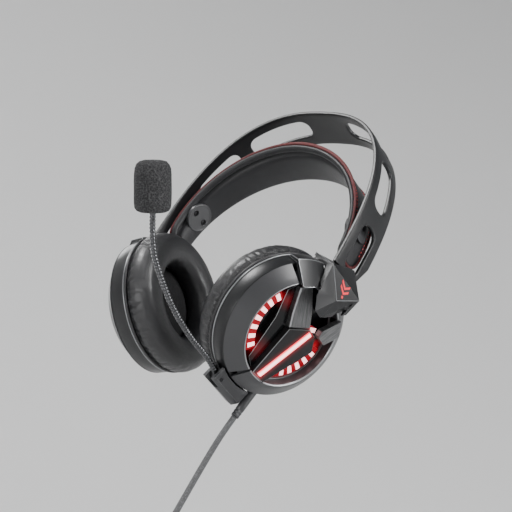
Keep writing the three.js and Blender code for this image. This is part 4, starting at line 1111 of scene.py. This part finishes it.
bar_paint = Paint("lit_bar", (0.9, 0.4, 0.4), 0.25, Emission_Strength=3.0)
core = bar_paint.math("MAXIMUM", 1.9 - off_bar(bar_paint) / 0.00085, 0)
core = bar_paint.math("MINIMUM", core, 1)
bar_paint.set("Emission Color", bar_paint.blend(core, (0.9, 0.01, 0.03), (1, 0.66, 0.66)))
on_cups("bar", lambda: on_face(prism(grown(bar_outline(BAR_WIDTH), 0.3), FACE + 2.8, EDGE + 0.6, 0.35)),
        [bar_paint, window_rim], "red_light", "light_bar", sharp=20)
SHORT_WINDOW = [(10.5, 13.6), (12.0, 11.9), (14.9, 13.7), (13.9, 15.6)]
on_cups("short_window", lambda: joined(prism(grown(SHORT_WINDOW, 0.6), FACE + 0.3, EDGE - 3.4, 0.2, 1),
                                       prism(SHORT_WINDOW, EDGE - 3.4, EDGE - 3.0, 0.3, 1)),
        [window, guide], "red_light", sharp=20)

# ---------------------------------------------------------------- inside the cups
# A black baffle carries each driver, with its magnet behind it. A green circuit board
# under the face lights the windows. Only glimpses of them show.
driver_paint = Paint("driver_frame", (0.012, 0.012, 0.013), 0.5)
driver_paint.set("Roughness", 0.4 + driver_paint.noise(driver_paint.place(), 200) * 0.2)
board_paint = Paint("circuit_board", (0.01, 0.05, 0.028), 0.45)
traces = board_paint.cell_walls(board_paint.place(), 300)
board_paint.tint(traces > 0.08, (0.03, 0.12, 0.06), (0.006, 0.04, 0.022))
for side in ("left", "right"):
    for node, paint in (("baffle", moulded), ("driver", driver_paint), ("driver_magnet", steel),
                        ("led_board", board_paint)):
        repaint(f"{side}_{node}", paint)

# ---------------------------------------------------------------- the ear cushions
# Ring cushions of foam under black leatherette, gathered in small pleats at the rim, where
# a sewn bead holds them on the cup. A stretched black cloth covers each driver.
CUSHION = [[30, -0.6], [28, -4], [27.6, -10], [28, -15.6], [31, -20.4], [38, -22.2], [45.6, -21.2],
           [50.4, -17.4], [51.9, -11.5], [51.9, -7], [51.2, -3], [49.9, -0.6]]
random.seed(7)
pleats = []
angle = 0.0
while angle < 2 * math.pi:
    pleats.append((angle, random.uniform(0.5, 1.4), random.uniform(8, 17), random.uniform(-0.06, 0.06)))
    angle += random.uniform(0.065, 0.13)


def inflated(shape, cap):
    """Cloth blown up round a soft core, from a shape in metres; no point moves beyond the cap."""
    mesh = bpy.data.meshes.new("blank")
    shape.to_mesh(mesh)
    shape.free()
    blank = bpy.data.objects.new("blank", mesh)
    bpy.context.collection.objects.link(blank)
    voxels = blank.modifiers.new("voxels", "REMESH")
    voxels.mode = "VOXEL"
    voxels.voxel_size = 0.004
    bpy.context.view_layer.update()
    remeshed = bpy.data.meshes.new_from_object(blank.evaluated_get(bpy.context.evaluated_depsgraph_get()))
    blank.modifiers.clear()
    blank.data = remeshed
    start = [v.co.copy() for v in remeshed.vertices]
    held = blank.vertex_groups.new(name="sewn")
    held.add([v.index for v in remeshed.vertices if v.co.x > -0.0025], 1.0, "REPLACE")
    cloth = blank.modifiers.new("cloth", "CLOTH")
    cloth.settings.quality = 6
    cloth.settings.use_pressure = True
    cloth.settings.uniform_pressure_force = 4
    cloth.settings.effector_weights.gravity = 0
    cloth.settings.vertex_group_mass = "sewn"
    scene = bpy.context.scene
    for step in range(1, 21):
        scene.frame_set(step)
    blown = bpy.data.meshes.new_from_object(blank.evaluated_get(bpy.context.evaluated_depsgraph_get()))
    for vert, place, was in zip(remeshed.vertices, [v.co.copy() for v in blown.vertices], start):
        shift = place - was
        vert.co = was + shift * min(1, cap / max(shift.length, 1e-9))
    blank.modifiers.clear()
    bpy.data.meshes.remove(blown)
    scene.frame_set(1)
    result = bmesh.new()
    result.from_mesh(remeshed)
    bpy.data.objects.remove(blank)
    for old in (mesh, remeshed):
        bpy.data.meshes.remove(old)
    for _ in range(2):
        bmesh.ops.subdivide_edges(result, edges=result.edges, cuts=1, use_grid_fill=True, smooth=0)
        bmesh.ops.smooth_vert(result, verts=result.verts, factor=0.5, use_axis_x=True, use_axis_y=True,
                              use_axis_z=True)
    return result


cushion_blank = lathe(CUSHION, 96)
bmesh.ops.scale(cushion_blank, vec=(0.001, 0.001, 0.001), verts=cushion_blank.verts)
soft_ring = inflated(cushion_blank, 0.0022)
for vert in soft_ring.verts:
    radius = math.hypot(vert.co.y, vert.co.z) * 1000
    depth = -vert.co.x * 1000
    if radius < 44 or depth > 19:
        continue
    turn = math.atan2(vert.co.z, vert.co.y) % (2 * math.pi)
    dip = 0.0
    for at, strength, length, lean in pleats:
        off = (turn - at - lean * depth / 15 + math.pi) % (2 * math.pi) - math.pi
        if abs(off) < 0.09:
            dip += strength * math.exp(-(off / 0.022) ** 2) * max(0, 1 - depth / length) ** 0.6
    pull = math.exp(-((depth - 4.2) / 0.9) ** 2) * 0.6
    swell = math.exp(-((depth - 9) / 5) ** 2) * 0.4
    scale = (radius - min(dip, 2.1) * 1.1 - pull + swell) / radius
    vert.co.y *= scale
    vert.co.z *= scale
soft_ring_mesh = bpy.data.meshes.new("soft_ring")
bmesh.ops.scale(soft_ring, vec=(1000, 1000, 1000), verts=soft_ring.verts)
soft_ring.to_mesh(soft_ring_mesh)
soft_ring.free()

cushion_leather = Paint("cushion_leatherette", (0.006, 0.006, 0.007), 0.4, Specular_IOR_Level=0.5)
spot = cushion_leather.place()
pores = cushion_leather.cell_walls(spot, 1150)
folds = cushion_leather.noise(spot, 130, 5.0, 0.62)
tone = cushion_leather.noise(spot, 24, 3.0)
cushion_leather.tint(tone, (0.0036, 0.0036, 0.0044), (0.0085, 0.0085, 0.01))
cushion_leather.set("Roughness", 0.27 + folds * 0.2)
cushion_leather.emboss(cushion_leather.math("MINIMUM", pores * 6, 0.35) + folds * 1.2, 0.00018, 0.9)
cloth_paint = Paint("speaker_cloth", (0.006, 0.006, 0.006), 0.9, Specular_IOR_Level=0.15)
spot = cloth_paint.place()
holes = cloth_paint.node("TexVoronoi", None, {"Vector": spot, "Scale": 700})
cloth_paint.tint(holes > 0.3, (0.0015, 0.0015, 0.0015), (0.008, 0.008, 0.0085))
cloth_paint.emboss(holes, 0.0003)
for side, turn in (("left", cup_pose), ("right", mirror @ cup_pose)):
    ring = bmesh.new()
    ring.from_mesh(soft_ring_mesh)
    cushion = show(f"{side}_cushion", moved(ring, turn), [cushion_leather], f"{side}_cup", "leatherette",
                   (f"{side}_ear_cushion",), sharp=80)
    roll = [[50.3 + 1.0 * math.cos(math.radians(a)), -1.35 + 1.0 * math.sin(math.radians(a))]
            for a in range(0, 360, 36)]
    show(f"{side}_cushion_piping", moved(lathe(roll, 128), turn), [cushion_leather], f"{side}_cup",
         "leatherette", sharp=80)
    bead_line = [turn @ Vector((-4.2, 51.3 * math.cos(a), 51.3 * math.sin(a)))
                 for a in (2 * math.pi * i / 160 for i in range(161))]
    sewn = [(a, a.lerp(b, 0.62)) for a, b in zip(bead_line, bead_line[1:])]
    show(f"{side}_cushion_stitches", stitches(sewn, 0.4), [cushion_leather], f"{side}_cup", "leatherette")
    disc = lathe([[0, -3.9], [9, -3.8], [18, -3.3], [26.3, -2.4], [26.5, -3.0], [26.3, -3.5], [18, -4.4],
                  [9, -4.9], [0, -5]], 64, closed=False)
    cloth = show(f"{side}_driver_cloth", moved(disc, turn), [cloth_paint], f"{side}_cup", "speaker_cloth",
                 (f"{side}_cushion_cloth",))
bpy.data.meshes.remove(soft_ring_mesh)

# ---------------------------------------------------------------- the microphone
# A housing under the left cup ends in a fork. Between its prongs a steel pin holds the
# ribbed gooseneck, and a block of open foam covers the capsule at its far end.
# The mic base's eased edges take the light paint, a painted highlight.
show_eased("mic_base", "mic_housing", 0.5, [satin, painted_highlight_chamfer], "left_cup", "charcoal_plastic",
           bright=1, sharp=25)
repaint("boom_pin", black_steel)
BOOM_PIN = Vector((6.3, -8, -55))
BOOM_STEPS = [(0, -3, 0.8), (-0.1, -17.8, 3.1), (-1.8, -40.9, 4), (-4.3, -64.4, 7.8),
              (-7.8, -83.7, 14.1), (-11.3, -98.7, 20.7), (-15.3, -110.6, 29.9), (-19.3, -122, 40.8)]
boom_line = smooth_line([BOOM_PIN + Vector(step) for step in BOOM_STEPS], 0.32)
boom_length = sum((b - a).length for a, b in zip(boom_line, boom_line[1:]))


def ribbed(run, angle):
    ends = min(min(run, boom_length - run) / 9, 1)
    return 2.1 - 0.5 * ends * (0.5 + 0.5 * math.cos(2 * math.pi * run / 2.3)) ** 2


gunmetal = Paint("gunmetal", (0.065, 0.066, 0.069), 0.22, 0.95)
gunmetal.set("Roughness", 0.2 + gunmetal.noise(gunmetal.place(), 500) * 0.18)
knuckle = lathe([[1.6, -2.8], [3.6, -2.8], [4, -2.4], [4, 2.4], [3.6, 2.8], [1.6, 2.8]], 40)
boom = joined(tube(boom_line, ribbed, 14), moved(knuckle, Matrix.Translation(BOOM_PIN)))
show("boom_gooseneck", moved(boom, cup_pose), [gunmetal], "mic_boom", "gunmetal", ("gooseneck",), sharp=50)


def aimed(place, way):
    """A pose at a place, with X along a direction."""
    turn = Vector((1, 0, 0)).rotation_difference(way)
    return Matrix.Translation(place) @ turn.to_matrix().to_4x4()


foam_way = (boom_line[-1] - boom_line[-3]).normalized()
foam_pose = cup_pose @ aimed(boom_line[-1], foam_way)
foam_side = [[5.1, -2.6], [6.4, -3], [8.4, -2.9], [10.4, -2], [11.5, -0.2], [11.9, 2.5], [12, 6], [12, 11],
             [12, 16], [11.9, 21], [11.5, 24.6], [10.5, 27.4], [8.6, 29.2], [6, 29.9], [3, 30]]
foam_shape = lathe([*foam_side, [0, 30], [0, 20], [5.1, 20]], 72)
for vert in foam_shape.verts:
    if math.hypot(vert.co.y, vert.co.z) > 6:
        vert.co *= 1 + 0.012 * noise.noise(vert.co * 0.35)
foam_paint = Paint("open_foam", (0.02, 0.02, 0.021), 0.95, Specular_IOR_Level=0.15)
spot = foam_paint.place()
bubbles = foam_paint.node("TexVoronoi", None, {"Vector": spot, "Scale": 900})
fine_cells = foam_paint.noise(spot, 1900, 3.0, 0.7)
pits = bubbles * 0.7 + fine_cells * 0.6
foam_paint.tint(pits ** 2, (0.005, 0.005, 0.0055), (0.062, 0.062, 0.064))
foam_paint.emboss(pits, 0.0007)
foam = show("mic_windscreen", moved(foam_shape, foam_pose), [foam_paint], "mic_boom", "foam",
            ("mic_foam",), sharp=70)
repaint("mic_capsule", steel)

# ---------------------------------------------------------------- relief, tie and plug
# A smooth tapered sleeve with two shallow rings guards the lead at the cup. A rubber tie holds
# the stored coil, and the lead ends in a moulded USB plug with a steel shell.
rubber = Paint("soft_rubber", (0.008, 0.008, 0.009), 0.5, Specular_IOR_Level=0.4)
spot = rubber.place()
rubber.tint(rubber.noise(spot, 60), (0.006, 0.006, 0.007), (0.012, 0.012, 0.0135))
rubber.set("Roughness", 0.42 + rubber.noise(spot, 90, 3.0) * 0.16)
rubber.emboss(rubber.noise(spot, 2200, 2.0), 0.00006, 0.6)
relief_way = Vector((-0.14834, 0, -0.98893)).normalized()
relief_side = [[0, -1.2], [3.34, -1.2], [3.3, 2.6], [3.2, 8], [3.1, 14], [3.05, 18.4], [2.8, 18.7],
               [2.8, 19.3], [3.02, 19.6], [3.0, 20.8],
               [2.76, 21.1], [2.76, 21.7], [2.97, 22], [2.95, 23.2], [2.8, 23.8],
               [2.5, 24], [0, 24]]
relief_pose = aimed(Vector((46.990, 21, -185.568)), relief_way)
show("lead_relief", moved(lathe(relief_side, 40, closed=False), relief_pose), [satin], "left_cup", "rubber",
     ("strain_relief",), sharp=50)
show_eased("coil_band", "coil_tie", 0.4, [rubber], "left_cup", "rubber")
show_eased("plug_grip", "plug_body", 0.8, [rubber], "left_cup", "rubber")
repaint("plug_shell", steel)
